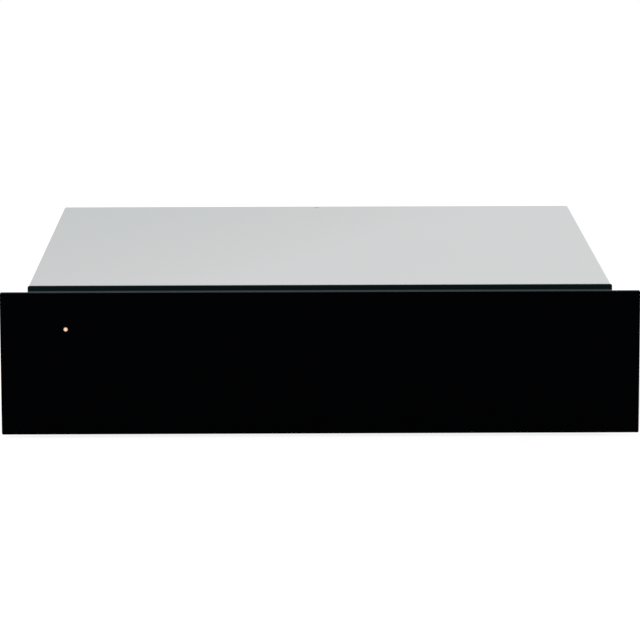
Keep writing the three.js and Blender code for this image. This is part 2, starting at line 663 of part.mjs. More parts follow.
function makeRunners() {
  const along = [RUNNER_FRONT, RUNNER_FRONT + RUNNER_LENGTH];
  const outer = makeRail(outerRailLine(), RAIL_SHEET, along);
  const middle = makeRail(middleRailLine(), RAIL_SHEET, along);
  const inner = makeRail(innerRailLine(), RAIL_SHEET, along);
  const outerCage = makeCage(outerCageLine, OUTER_BALL);
  const innerCage = makeCage(innerCageLine, INNER_BALL);

  // A hat-shaped bracket holds each outer rail off its side panel.
  const wall = SIDE_FACE - SHEET - FIT - BRACKET_SHEET / 2;
  const seat = RUNNER_FACE + FIT + BRACKET_SHEET / 2;
  const crown = BRACKET_HEIGHT / 2 - BRACKET_FOOT;
  const foot = BRACKET_HEIGHT / 2;
  const hat = [[wall, foot], [wall, crown], [seat, crown], [seat, -crown], [wall, -crown], [wall, -foot]];
  const pitch = RUNNER_LENGTH / (BRACKET_WINDOWS + 0.5);
  const columns = spread(BRACKET_WINDOWS, pitch);
  const windows = slots("x", [seat - 2, wall + 2], columns, [0], [pitch * WINDOW_SHARE, WINDOW_HEIGHT]);
  const bracket = cut(folded(hat, BRACKET_SHEET, "y", along), ...windows);

  bothSides(housing, (half, side) => {
    const runner = new THREE.Group();
    runner.position.z = RUNNER_CENTRE;
    half.add(runner);
    piece(runner, `rail_bracket_${side}`, bracket, ZINC);
    // The rails' section starts at the bracket and goes inwards.
    const rails = new THREE.Group();
    rails.position.x = RUNNER_FACE;
    rails.scale.x = -1;
    runner.add(rails);
    piece(rails, `outer_rail_${side}`, outer, BRIGHT_STEEL);
    piece(rails, `outer_ball_cage_${side}`, outerCage, BRIGHT_STEEL);
    piece(rails, `middle_rail_${side}`, middle, BRIGHT_STEEL);
    piece(rails, `inner_ball_cage_${side}`, innerCage, BRIGHT_STEEL);
    piece(rails, `inner_rail_${side}`, inner, BRIGHT_STEEL);
  });
}

// ---- Drawer front ----

function lampHole(clearance, from, to) {
  return bar("y", LIGHT_GUIDE / 2 + clearance, [from, to], [LAMP_X, LAMP_Z], 12);
}

function makeDrawerFront() {
  const edges = [-GLASS_WIDTH / 2, GLASS_WIDTH / 2];
  const outline = (inset) =>
    roundedRectangle(
      [edges[0] + inset, edges[1] - inset],
      [GLASS_FOOT + inset, GLASS_TOP - inset],
      GLASS_CORNER,
    );
  // The pane, with its edges ground off at the front.
  const pane = new THREE.ExtrudeGeometry(outline(GROUND_EDGE), {
    depth: GLASS_THICKNESS - 2 * GROUND_EDGE,
    bevelThickness: GROUND_EDGE,
    bevelSize: GROUND_EDGE,
    bevelSegments: 1,
    curveSegments: 3,
  });
  pane.rotateX(Math.PI / 2).translate(0, GLASS_BACK - GROUND_EDGE, 0);
  piece(drawer, "front_glass", pane, GLASS_BLACK);

  const panEdges = [-PAN_WIDTH / 2, PAN_WIDTH / 2];
  const panHeights = [GLASS_FOOT + PAN_ABOVE_GLASS_FOOT, GLASS_TOP - PAN_BELOW_GLASS_TOP];
  const pan = tray("front", panEdges, [PAN_FRONT, PAN_BACK], panHeights);
  const throughPan = lampHole(FIT, PAN_FRONT - 1, PAN_FRONT + 3);
  piece(drawer, "front_pan", cut(pan, throughPan), GREY_PAINT);

  const inset = SHEET + BEND_RADIUS;
  const pad = block(
    [panEdges[0] + inset, panEdges[1] - inset],
    [PAN_FRONT + SHEET + FIT, PAN_BACK],
    [panHeights[0] + inset, panHeights[1] - inset],
  );
  piece(drawer, "front_insulation", cut(pad, lampHole(FIT, PAN_FRONT, PAN_BACK + 1)), WOOL);

  const wallHalf = PAN_WIDTH / 2 - FRONT_WALL_INSET;
  const wallHeights = [GLASS_FOOT + PAN_ABOVE_GLASS_FOOT, GLASS_TOP - FRONT_WALL_BELOW_GLASS];
  const wall = extruded(
    roundedRectangle([-wallHalf, wallHalf], wallHeights, OPENING_CORNER),
    "y",
    [FRONT_WALL, FRONT_WALL + SHEET],
  );
  piece(drawer, "front_wall", cut(wall, lampHole(FIT, FRONT_WALL - 1, FRONT_WALL + 2)), STAINLESS);
}

// ---- Drawer tub ----

function makeTub() {
  const side = TUB_SIDE - SHEET / 2;
  const rim = DRAWER_RIM - SHEET / 2;
  const floor = FLOOR_UNDERSIDE + SHEET / 2;
  const hem = side + RIM_FLANGE;
  const upper = [[hem, rim - RIM_HEM], [hem, rim], [side, rim], [side, floor]];
  const lower = upper.map(([x, z]) => [-x, z]).reverse();
  const tub = folded([...upper, ...lower], SHEET, "y", [DRAWER_FRONT, DRAWER_BACK]);
  piece(drawer, "drawer_tub", tub, STAINLESS);

  const coverEdges = [-TUB_SIDE + SHEET, TUB_SIDE - SHEET];
  const coverHeights = [DRAWER_UNDERSIDE, DRAWER_UNDERSIDE + UNDER_COVER_HEIGHT];
  const cover = tray("bottom", coverEdges, [DRAWER_FRONT, DRAWER_BACK], coverHeights);
  piece(drawer, "under_cover", cover, ZINC);

  const inset = SHEET + BEND_RADIUS;
  const blanket = block(
    [coverEdges[0] + inset, coverEdges[1] - inset],
    [DRAWER_FRONT + inset, DRAWER_BACK - inset],
    [DRAWER_UNDERSIDE + SHEET + FIT, coverHeights[1]],
  );
  piece(drawer, "floor_insulation", blanket, WOOL);

  const matEdges = [-TUB_INSIDE + MAT_MARGIN, TUB_INSIDE - MAT_MARGIN];
  const matDepths = [DRAWER_FRONT + MAT_MARGIN, BACK_WALL - MAT_MARGIN];
  const mat = extruded(roundedRectangle(matEdges, matDepths, MAT_CORNER), "z", [
    ON_FLOOR,
    ON_FLOOR + MAT_THICKNESS,
  ]);
  // The mat leaves the corner under the controls free.
  const corner = block(
    [CONTROL_LEFT - 1, CONTROL_RIGHT + MAT_MARGIN],
    [DRAWER_FRONT - 1, CONTROL_BACK + MAT_MARGIN],
    [ON_FLOOR - 1, ON_FLOOR + MAT_THICKNESS + 1],
  );
  piece(drawer, "anti_slip_mat", cut(mat, corner), BLACK_RUBBER);
}

// The wall between the drawer's inside and its fan, with a round grille of arc slots for the air that
// the fan draws in, and two banks of straight slots for the warm air that it blows out.
function makeBackWall() {
  const [foot, top] = [ON_FLOOR, COVER_TOP];
  const corners = line([-TUB_INSIDE, foot], [TUB_INSIDE, foot], [TUB_INSIDE, top], [-TUB_INSIDE, top]);
  const wall = new THREE.Shape(corners);
  const centre = new THREE.Vector2(0, FAN_AXIS_HEIGHT);
  for (const ring of range(GRILLE_RINGS)) {
    const inner = (ring + 0.75) * GRILLE_RING_PITCH;
    const outer = inner + GRILLE_SLOT;
    const arcs = ring < 2 ? 3 : 6;
    for (const index of range(arcs)) {
      const spoke = GRILLE_SPOKE / 2 / ((inner + outer) / 2);
      const from = ((index + 0.25) * 2 * Math.PI) / arcs + spoke;
      const to = ((index + 1.25) * 2 * Math.PI) / arcs - spoke;
      const steps = ring < 2 ? 6 : 4;
      const outside = arcLine(centre, outer, from, to, steps);
      const inside = arcLine(centre, inner, to, from, steps);
      wall.holes.push(new THREE.Path([...outside, ...inside]));
    }
  }
  const sheet = extruded(wall, "y", [BACK_WALL, BACK_WALL + SHEET]);
  const through = [BACK_WALL - 1, BACK_WALL + SHEET + 1];
  const columns = [-1, 1].flatMap((side) =>
    spread(OUTLET_COLUMNS, VENT_LENGTH + 6).map((column) => column + side * OUTLET_OFFSET),
  );
  const rows = spread(OUTLET_ROWS, VENT_ROW_PITCH).map((row) => row + FAN_AXIS_HEIGHT);
  const outlets = slots("y", through, columns, rows, [VENT_LENGTH, VENT_WIDTH]);
  piece(drawer, "drawer_back_wall", cut(sheet, ...outlets), STAINLESS);
}

function makeRearCover() {
  const top = COVER_TOP + SHEET / 2 + FIT;
  const back = DRAWER_BACK - SHEET / 2;
  const corners = [[BACK_WALL, top], [back, top], [back, ON_FLOOR]];
  const cover = folded(corners, SHEET, "x", [-TUB_INSIDE, TUB_INSIDE]);
  const through = [DRAWER_BACK - 2 * SHEET, DRAWER_BACK + SHEET];
  const cable = bar("y", LOOM_DIAMETER / 2 + 1, through, [LOOM_ENTRY, LOOM_HEIGHT], 16);
  const rows = spread(2, VENT_ROW_PITCH).map((row) => row + LATCH_CENTRE);
  const columns = spread(3, VENT_PITCH).map((column) => column + OUTLET_OFFSET);
  const vents = slots("y", through, columns, rows, [VENT_LENGTH, VENT_WIDTH]);
  piece(drawer, "rear_cover", cut(cover, cable, ...vents), ZINC);

  const striker = roundedRectangle(
    [-STRIKER_SIZE / 2, STRIKER_SIZE / 2],
    [LATCH_CENTRE - STRIKER_SIZE / 2, LATCH_CENTRE + STRIKER_SIZE / 2],
    GLASS_CORNER * 2,
  );
  const depths = [DRAWER_BACK + FIT, STRIKER_BACK];
  piece(drawer, "striker_plate", extruded(striker, "y", depths), BRIGHT_STEEL);
}

// ---- Fan and heater ----

// A radial fan: curved blades between a back disc and a front ring, on a hub.
function makeFan() {
  const radius = FAN_DIAMETER / 2;
  const disc = (inner, outer, [from, to]) =>
    turned([[inner, from], [outer, from], [outer, to], [inner, to], [inner, from]]);
  const bore = SHAFT_DIAMETER / 2 + FIT;
  const backDisc = disc(bore, radius, [0, FAN_DISC]);
  const frontRing = disc(radius - BLADE_CHORD * 0.8, radius, [FAN_LENGTH - FAN_DISC, FAN_LENGTH]);
  const hub = disc(bore, HUB_DIAMETER / 2, [0, FAN_LENGTH * 0.6]);
  const curve = arcLine(new THREE.Vector2(), BLADE_CHORD, 0, radians(60), 3);
  const bladeSpan = [FAN_DISC / 2, FAN_LENGTH - FAN_DISC / 2];
  const blade = extruded(sheetOutline(curve, BLADE_THICKNESS), "z", bladeSpan);
  blade.translate(radius - BLADE_CHORD * 1.6, -BLADE_CHORD * 0.5, 0);
  const blades = range(FAN_BLADES).map((index) =>
    blade.clone().rotateZ((index * 2 * Math.PI) / FAN_BLADES),
  );
  const wheel = join(backDisc, hub, frontRing, ...blades);

  const fan = new THREE.Group();
  fan.position.set(0, FAN_BACK, FAN_AXIS_HEIGHT);
  fan.rotation.x = Math.PI / 2; // the fan's own axis points to the front
  drawer.add(fan);
  piece(fan, "fan_impeller", wheel, STAINLESS);
  const inMotor = BAFFLE_BEHIND_FAN + SHEET + FIT + BEARING_STANDS + CORE_STACK;
  const shaft = bar("z", SHAFT_DIAMETER / 2, [-inMotor, FAN_LENGTH * 0.7], [0, 0], 16);
  piece(fan, "fan_shaft", shaft, BRIGHT_STEEL);
}

// A shaded-pole motor: a stack of laminations with a window, and a coil round one limb.
function makeMotor() {
  const front = BAFFLE_BACK + FIT + BEARING_STANDS;
  const back = front + CORE_STACK;
  const limb = CORE_WIDTH * 0.16;
  const coilMiddle = CORE_WIDTH / 2 - limb / 2 + 4;
  const windowEdges = [coilMiddle - limb / 2 - 8, coilMiddle - limb / 2];
  const half = CORE_HEIGHT / 2;
  const outline = roundedRectangle(
    [-CORE_WIDTH / 2, coilMiddle + limb / 2],
    [FAN_AXIS_HEIGHT - half, FAN_AXIS_HEIGHT + half],
    BEND_RADIUS * 2,
  );
  const window = block(
    windowEdges,
    [front - 1, back + 1],
    [FAN_AXIS_HEIGHT - COIL_HEIGHT / 2 - 1, FAN_AXIS_HEIGHT + COIL_HEIGHT / 2 + 1],
  );
  const bearing = bar(
    "y",
    BEARING_DIAMETER / 2,
    [front - BEARING_STANDS, back + BEARING_STANDS],
    [0, FAN_AXIS_HEIGHT],
  );
  const shaftHole = bar("y", SHAFT_DIAMETER / 2 + FIT, [front - 10, back + FIT], [0, FAN_AXIS_HEIGHT], 16);
  const stack = cut(extruded(outline, "y", [front, back]), window);
  piece(drawer, "motor_core", cut(join(stack, bearing), shaftHole), CORE_STEEL);

  const coilEdges = [windowEdges[0] + FIT, windowEdges[0] + FIT + COIL_WIDTH];
  const coilDepths = [front - BEARING_STANDS + FIT, back + BEARING_STANDS];
  const coilHeights = [FAN_AXIS_HEIGHT - COIL_HEIGHT / 2, FAN_AXIS_HEIGHT + COIL_HEIGHT / 2];
  const winding = extruded(
    roundedRectangle(coilEdges, coilDepths, BEND_RADIUS * 2),
    "z",
    coilHeights,
  );
  const throughCoil = block(
    [coilMiddle - limb / 2 - FIT, coilMiddle + limb / 2 + FIT],
    [front - FIT, back + FIT],
    [coilHeights[0] - 1, coilHeights[1] + 1],
  );
  piece(drawer, "motor_coil", cut(winding, throughCoil), COPPER);
}

// The upright sheet that carries the motor and parts its space from the warm air.
function makeBaffle() {
  const middle = BAFFLE_FRONT + SHEET / 2;
  const foot = ON_FLOOR + SHEET / 2;
  const corners = [[middle, COVER_TOP - FIT], [middle, foot], [middle + BAFFLE_FOOT, foot]];
  const sheet = folded(corners, SHEET, "x", [-BAFFLE_WIDTH / 2, BAFFLE_WIDTH / 2]);
  const hole = bar("y", BAFFLE_HOLE / 2, [BAFFLE_FRONT - 1, BAFFLE_BACK + 1], [0, FAN_AXIS_HEIGHT]);
  piece(drawer, "air_baffle", cut(sheet, hole), ZINC);

  // A snap-disc thermal cut-out on the baffle's warm side.
  const radius = CUTOUT_DIAMETER / 2;
  const cutout = turned([
    [0, FIT],
    [radius + 2, FIT],
    [radius + 2, FIT + SHEET],
    [radius, FIT + SHEET],
    [radius, CUTOUT_HEIGHT - 1],
    [radius - 1, CUTOUT_HEIGHT],
    [0, CUTOUT_HEIGHT],
  ], 20).rotateX(Math.PI / 2);
  const mesh = piece(drawer, "thermal_cutout", cutout, BRIGHT_STEEL);
  mesh.position.set(HEATER_RADIUS * 2, BAFFLE_FRONT, FAN_AXIS_HEIGHT + 10);
}

// A ring of tubular heating element round the fan, with two legs side by side in a flange.
function makeHeater() {
  const leg = HEATER_LEG_SPACING / 2;
  const leaves = radians(150); // where the ring turns off into a leg
  const joinsAt = arcLine(new THREE.Vector2(), HEATER_RADIUS, leaves, leaves, 1)[0];
  const back = (joinsAt.y - leg) / Math.cos(Math.PI - leaves);
  const corner = new THREE.Vector2(joinsAt.x - back * Math.sin(Math.PI - leaves), leg);
  const turnsAt = new THREE.Vector2(corner.x - HEATER_LEG_SPACING * 0.7, leg);
  const bend = new THREE.QuadraticBezierCurve(turnsAt, corner, joinsAt).getPoints(6);
  const ring = arcLine(new THREE.Vector2(), HEATER_RADIUS, leaves, 0, 10);
  const straight = [-HEATER_LEG_REACH, -HEATER_LEG_REACH * 0.8].map((x) => new THREE.Vector2(x, leg));
  const upper = [...straight, ...bend, ...ring.slice(1)];
  const lower = upper.slice(0, -1).map((point) => new THREE.Vector2(point.x, -point.y));
  const depth = (FAN_FRONT + FAN_BACK) / 2;
  const route = [...upper, ...lower.reverse()].map(
    (point) => new THREE.Vector3(point.x, depth, point.y + FAN_AXIS_HEIGHT),
  );
  const curve = new THREE.CatmullRomCurve3(route, false, "centripetal");
  piece(drawer, "heating_element", tube(curve, HEATER_TUBE, 40, 8), HEATER_STEEL);

  const flangeAt = -HEATER_LEG_REACH * 0.85;
  const foot = ON_FLOOR + SHEET / 2;
  const top = FAN_AXIS_HEIGHT + leg + HEATER_TUBE * 1.5;
  const corners = [[flangeAt, top], [flangeAt, foot], [flangeAt - BAFFLE_FOOT, foot]];
  const depths = [BACK_WALL + SHEET + FIT, BAFFLE_FRONT - FIT];
  const sheet = folded(corners, SHEET, "y", depths);
  const legHoles = [-leg, leg].map((height) =>
    bar("x", HEATER_TUBE / 2 + FIT, [flangeAt - 2, flangeAt + 2], [depth, FAN_AXIS_HEIGHT + height], 16),
  );
  piece(drawer, "heater_flange", cut(sheet, ...legHoles), STAINLESS);
}

// ---- Controls ----

function makeControls() {
  const edges = [CONTROL_LEFT, CONTROL_RIGHT];
  const depths = [DRAWER_FRONT, CONTROL_BACK];
  const shell = extruded(roundedRectangle(edges, depths, CONTROL_WALL), "z", [ON_FLOOR, CONTROL_TOP]);
  const hollow = block(
    [CONTROL_LEFT + CONTROL_WALL, CONTROL_RIGHT - CONTROL_WALL],
    [DRAWER_FRONT + CONTROL_WALL, CONTROL_BACK - CONTROL_WALL],
    [ON_FLOOR + CONTROL_WALL, CONTROL_TOP + 1],
  );
  const guideHole = lampHole(FIT, DRAWER_FRONT - 1, DRAWER_FRONT + CONTROL_WALL + 1);
  piece(drawer, "control_housing", cut(shell, hollow, guideHole), BLACK_PLASTIC);

  const fascia = extruded(roundedRectangle(edges, depths, FASCIA_CORNER), "z", [
    FASCIA_UNDERSIDE,
    FASCIA_TOP,
  ]);
  const through = [FASCIA_UNDERSIDE - 1, FASCIA_TOP + 1];
  const bushHole = bar("z", BUSH_DIAMETER / 2 + FIT, through, [KNOB_X, KNOB_Y]);
  const [switchX, switchY] = switchEdges(0);
  const switchHole = block(switchX.map(outwards(FIT)), switchY.map(outwards(FIT)), through);
  piece(drawer, "control_fascia", cut(fascia, bushHole, switchHole), BLACK_PLASTIC);
}

// Moves the low end of a span down and its high end up.
const outwards = (by) => (value, index) => value + (index ? by : -by);

// The edges of the switch's body, across and deep, drawn in or let out.
function switchEdges(grow) {
  const halfLength = ROCKER_LENGTH / 2 + 2 + grow;
  const halfWidth = ROCKER_WIDTH / 2 + FIT + 1 + grow;
  return [
    [ROCKER_X - halfLength, ROCKER_X + halfLength],
    [ROCKER_Y - halfWidth, ROCKER_Y + halfWidth],
  ];
}

function makeSwitch() {
  const bezelHeights = [FASCIA_TOP + FIT, FASCIA_TOP + FIT + BEZEL_THICKNESS];
  const body = block(...switchEdges(0), [FASCIA_TOP - SWITCH_DEPTH, bezelHeights[1]]);
  const bezel = block(...switchEdges(BEZEL_LIP), bezelHeights);
  const well = block(...switchEdges(-1), [ROCKER_PIVOT - 6, bezelHeights[1] + 1]);
  piece(drawer, "switch_body", cut(join(body, bezel), well), BLACK_PLASTIC);

  // The rocker's top dips to its middle, and its underside clears the well as it tips.
  const half = ROCKER_LENGTH / 2;
  const outline = line(
    [-half, 0], [-half * 0.45, -3.4], [half * 0.45, -3.4], [half, 0], [half, 3], [0, 1.5], [-half, 3],
  );
  const rocker = extruded(outline, "y", [-ROCKER_WIDTH / 2, ROCKER_WIDTH / 2]);
  const mesh = piece(drawer, "power_rocker", rocker, BLACK_PLASTIC);
  mesh.position.set(ROCKER_X, ROCKER_Y, ROCKER_PIVOT);
  mesh.rotation.y = radians(ROCKER_TILT);
}

function makeThermostat() {
  const bushTop = FASCIA_TOP + KNOB_STANDS - FIT;
  const top = FASCIA_UNDERSIDE - FIT;
  const body = block(
    [KNOB_X - THERMOSTAT_WIDTH / 2, KNOB_X + THERMOSTAT_WIDTH / 2],
    [KNOB_Y - THERMOSTAT_DEPTH / 2, KNOB_Y + THERMOSTAT_DEPTH / 2],
    [top - THERMOSTAT_HEIGHT, top],
  );
  const bush = bar("z", BUSH_DIAMETER / 2, [top - 1, bushTop], [KNOB_X, KNOB_Y]);
  const knobFoot = FASCIA_TOP + KNOB_STANDS;
  const knobTop = knobFoot + KNOB_HEIGHT;
  const shaftTop = knobTop - 2;
  const shaftFoot = shaftTop - KNOB_SHAFT_LENGTH;
  const bore = KNOB_SHAFT / 2 + FIT;
  const shaftHole = bar("z", bore, [shaftFoot - FIT, bushTop + 1], [KNOB_X, KNOB_Y]);
  piece(drawer, "thermostat_body", cut(join(body, bush), shaftHole), GREY_PLASTIC);
  const shaft = bar("z", KNOB_SHAFT / 2, [shaftFoot, shaftTop], [KNOB_X, KNOB_Y]);
  piece(drawer, "thermostat_shaft", shaft, BRIGHT_STEEL);

  // A skirted knob: hollow below, with a boss for the shaft and a raised pointer on top.
  const skirt = KNOB_DIAMETER / 2;
  const grip = skirt - 3;
  const wall = 1.6;
  const bossTop = KNOB_HEIGHT - 3.5;
  const section = [
    [0, KNOB_HEIGHT - 2 + FIT],
    [bore, KNOB_HEIGHT - 2 + FIT],
    [bore, FIT],
    [bore + wall, FIT],
    [bore + wall, bossTop],
    [grip - wall, bossTop],
    [grip - wall, 0],
    [skirt, 0],
    [skirt, wall],
    [grip + 0.5, wall * 2],
    [grip, KNOB_HEIGHT - 1.8],
    [grip - 1, KNOB_HEIGHT - 0.8],
    [0, KNOB_HEIGHT - 0.8],
  ];
  const pointer = block([-1, 1], [2, grip - 2], [KNOB_HEIGHT - 2, KNOB_HEIGHT]);
  const knob = piece(drawer, "thermostat_knob", join(turned(section), pointer), BLACK_PLASTIC);
  knob.position.set(KNOB_X, KNOB_Y, knobFoot);
  knob.rotation.z = radians(KNOB_OFF);
}

// The neon lamp sits behind the glass, and a clear rod brings its light to the glass's back.
function makeLamp() {
  const guideBack = DRAWER_FRONT + CONTROL_WALL + 1;
  const guide = bar("y", LIGHT_GUIDE / 2, [PAN_FRONT, guideBack], [LAMP_X, LAMP_Z], 12);
  piece(drawer, "light_guide", guide, CLEAR);

  const lampFront = guideBack + FIT;
  const lampBack = lampFront + LAMP_LENGTH;
  const radius = LAMP_DIAMETER / 2;
  const bulb = turned([
    [0, 0],
    [radius, 0],
    [radius, LAMP_LENGTH * 0.75],
    [radius * 0.6, LAMP_LENGTH - 0.8],
    [0, LAMP_LENGTH],
  ], 16);
  const lamp = piece(drawer, "neon_lamp", bulb, NEON);
  lamp.position.set(LAMP_X, lampBack, LAMP_Z);
  lamp.rotation.x = Math.PI / 2;

  const half = LAMP_HOLDER / 2;
  const holder = block(
    [LAMP_X - half, LAMP_X + half],
    [lampFront + 2, lampBack + 4],
    [LAMP_Z - half, LAMP_Z + half],
  );
  const socket = bar("y", radius + FIT, [lampFront, lampBack + FIT], [LAMP_X, LAMP_Z], 16);
  piece(drawer, "lamp_holder", cut(holder, socket), GREY_PLASTIC);
}

// ---- Push-open latch ----

function makeLatch() {
  const half = LATCH_WIDTH / 2;
  const heights = [LATCH_CENTRE - LATCH_HEIGHT / 2, LATCH_CENTRE + LATCH_HEIGHT / 2];
  const casing = extruded(roundedRectangle([-half, half], heights, 3), "y", [LATCH_FRONT, LATCH_BACK]);
  const axis = [0, LATCH_CENTRE];
  const rodBack = PLUNGER_FRONT + PLUNGER_LENGTH;
  const bore = bar("y", PLUNGER_DIAMETER / 2 + FIT, [LATCH_FRONT - 1, rodBack + 2], axis);
  piece(housing, "latch_body", cut(casing, bore), GREY_PLASTIC);

  const rod = bar("y", PLUNGER_DIAMETER / 2, [PLUNGER_FRONT, rodBack], axis);
  piece(housing, "latch_plunger", rod, BRIGHT_STEEL);
  const tip = bar("y", TIP_DIAMETER / 2, [TIP_FRONT, TIP_FRONT + TIP_THICKNESS], axis, 24);
  piece(housing, "plunger_tip", tip, BLACK_RUBBER);

  const table = heights[0] - FIT - BRACKET_SHEET / 2;
  const foot = SHEET + FIT + BRACKET_SHEET / 2;
  const right = [[half, table], [half, foot], [half + LATCH_FOOT, foot]];
  const left = right.map(([x, z]) => [-x, z]).reverse();
  const stand = folded([...left, ...right], BRACKET_SHEET, "y", [LATCH_FRONT, LATCH_BACK]);
  piece(housing, "latch_bracket", stand, ZINC);
}

// ---- Mains connection ----

function makeTerminalBox() {
  const wall = TERMINAL_BOX_WALL;
  const widths = [BOX_LEFT, BOX_RIGHT];
  const depths = [BOX_FRONT, BOX_BACK];
  const outside = extruded(roundedRectangle(widths, depths, wall), "z", [TERMINAL_BOX_BOTTOM, BOX_TOP]);
  const inside = block(widths.map(outwards(-wall)), depths.map(outwards(-wall)), [
    TERMINAL_BOX_BOTTOM + wall,
    BOX_TOP + 1,
  ]);
  const at = [TERMINAL_BOX_MIDDLE, GLAND_HEIGHT];
  const glandHole = bar("y", GLAND_DIAMETER / 2 + FIT, [BOX_BACK - wall - 1, BOX_BACK + 1], at);
  piece(housing, "terminal_box", cut(outside, inside, glandHole), BLACK_PLASTIC);
  const lid = extruded(roundedRectangle(widths, depths, wall), "z", [BOX_TOP + FIT, BOX_TOP + FIT + wall]);
  piece(housing, "terminal_box_cover", lid, BLACK_PLASTIC);

  const radius = GLAND_DIAMETER / 2;
  const nutBack = BOX_BACK - wall - FIT;
  const outer = BACK_PANEL + SHEET + FIT;
  const shank = bar("y", radius, [nutBack - GLAND_NUT, outer + 1], at);
  const hexagon = bar("y", GLAND_HEX / 2, [outer, PLATE_BACK + GLAND_STANDS], at, 6);
  const boreSpan = [nutBack - GLAND_NUT - 1, PLATE_BACK + GLAND_STANDS + 1];
  const cableBore = bar("y", GLAND_BORE / 2, boreSpan, at, 16);
  piece(housing, "cable_gland", cut(join(shank, hexagon), cableBore), BLACK_PLASTIC);
  const nut = bar("y", GLAND_HEX / 2, [nutBack - GLAND_NUT, nutBack], at, 6);
  const nutHole = bar("y", radius + FIT, [nutBack - GLAND_NUT - 1, nutBack + 1], at);
  piece(housing, "gland_nut", cut(nut, nutHole), GREY_PLASTIC);

  // A strip of terminals: one base with a rounded post for each pole.
  const base = TERMINAL_BOX_BOTTOM + wall + FIT;
  const middle = BOX_FRONT + wall + 9;
  const length = TERMINAL_POLES * POLE_PITCH;
  const strip = block(
    [TERMINAL_BOX_MIDDLE - length / 2, TERMINAL_BOX_MIDDLE + length / 2],
    [middle - 7, middle + 7],
    [base, base + 7],
  );
  const posts = spread(TERMINAL_POLES, POLE_PITCH).map((offset) =>
    bar("z", POLE_PITCH * 0.38, [base + 6, base + 14], [TERMINAL_BOX_MIDDLE + offset, middle], 12),
  );
  piece(housing, "terminal_block", join(strip, ...posts), WOOL);
}

// The supply loom leaves the terminal box, goes across behind the drawer and comes back in a loop, so
// that it can follow the drawer out.
function makeLoom() {
  const start = BOX_RIGHT + FIT;
  const back = (BOX_FRONT + BOX_BACK) / 2;
  const front = back - 2 * LOOM_BEND;
  const entryBend = front - DRAWER_BACK - FIT;
  const turn = new THREE.Vector2(LOOM_REACH, back - LOOM_BEND);
  const loop = arcLine(turn, LOOM_BEND, Math.PI / 2, -Math.PI / 2, 6);
  const entry = new THREE.Vector2(LOOM_ENTRY + entryBend, front - entryBend);
  const route = [
    new THREE.Vector2(start, back),
    new THREE.Vector2((start + LOOM_REACH) / 2, back),
    ...loop,
    new THREE.Vector2((LOOM_ENTRY + LOOM_REACH) / 2, front),
    ...arcLine(entry, entryBend, Math.PI / 2, Math.PI, 4),
  ];
  const curve = new THREE.CatmullRomCurve3(
    route.map((point) => new THREE.Vector3(point.x, point.y, LOOM_HEIGHT)),
    false,
    "centripetal",
  );
  piece(housing, "supply_loom", tube(curve, LOOM_DIAMETER, 40, 8), BLACK_RUBBER);
}

// ---- Everything together ----

const plateScrewHole = makeTopPlate();
makeBasePan();
makeSidePanels();
makeBackPanel(plateScrewHole);
makeFrontFrame();
makeRunners();
makeLatch();
makeTerminalBox();
makeLoom();
makeDrawerFront();
makeTub();
makeBackWall();
makeRearCover();
makeFan();
makeMotor();
makeBaffle();
makeHeater();
makeControls();
makeSwitch();
makeThermostat();
makeLamp();

export default warmingDrawer;
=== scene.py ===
# %% [markdown]
# # A built-in warming drawer, dressed in Blender
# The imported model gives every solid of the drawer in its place, in metres. This lesson puts a camera
# and light round it, gives each finish its own material, and models the pieces that need a finer
# shape than the solids have.

import json
from math import atan2, cos, pi, radians, sin

import bpy
from mathutils import Matrix, Vector

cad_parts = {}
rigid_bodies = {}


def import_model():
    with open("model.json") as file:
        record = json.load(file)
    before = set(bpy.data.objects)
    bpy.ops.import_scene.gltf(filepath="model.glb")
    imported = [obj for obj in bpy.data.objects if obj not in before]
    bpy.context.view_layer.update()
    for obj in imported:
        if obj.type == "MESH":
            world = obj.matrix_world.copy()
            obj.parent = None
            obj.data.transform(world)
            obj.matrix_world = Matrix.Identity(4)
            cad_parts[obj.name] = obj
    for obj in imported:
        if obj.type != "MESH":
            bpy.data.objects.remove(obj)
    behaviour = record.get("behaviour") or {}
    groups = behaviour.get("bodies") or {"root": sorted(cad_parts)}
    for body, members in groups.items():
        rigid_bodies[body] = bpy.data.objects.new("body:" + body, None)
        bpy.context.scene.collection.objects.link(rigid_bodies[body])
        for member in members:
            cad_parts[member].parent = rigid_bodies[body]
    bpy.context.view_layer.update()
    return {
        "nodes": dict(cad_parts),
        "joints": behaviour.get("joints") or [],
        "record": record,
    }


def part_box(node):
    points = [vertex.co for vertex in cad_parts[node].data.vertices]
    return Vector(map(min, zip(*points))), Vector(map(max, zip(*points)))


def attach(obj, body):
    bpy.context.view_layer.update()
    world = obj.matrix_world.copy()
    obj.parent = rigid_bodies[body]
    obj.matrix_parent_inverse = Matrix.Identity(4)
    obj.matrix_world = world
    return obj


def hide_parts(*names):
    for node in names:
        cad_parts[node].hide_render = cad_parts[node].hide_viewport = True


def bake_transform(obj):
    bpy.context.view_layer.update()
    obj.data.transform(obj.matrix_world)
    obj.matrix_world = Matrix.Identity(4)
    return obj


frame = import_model()
nodes = frame["nodes"]
MM = 0.001

# %% [markdown]
# ## Camera
# The photograph was taken with a long lens from a little above the drawer's front. A camera can be
# placed by eye, but here its lens, place and turns come from a fit to the corners of the glass and of
# the top plate, so the frame is matched without any shift.

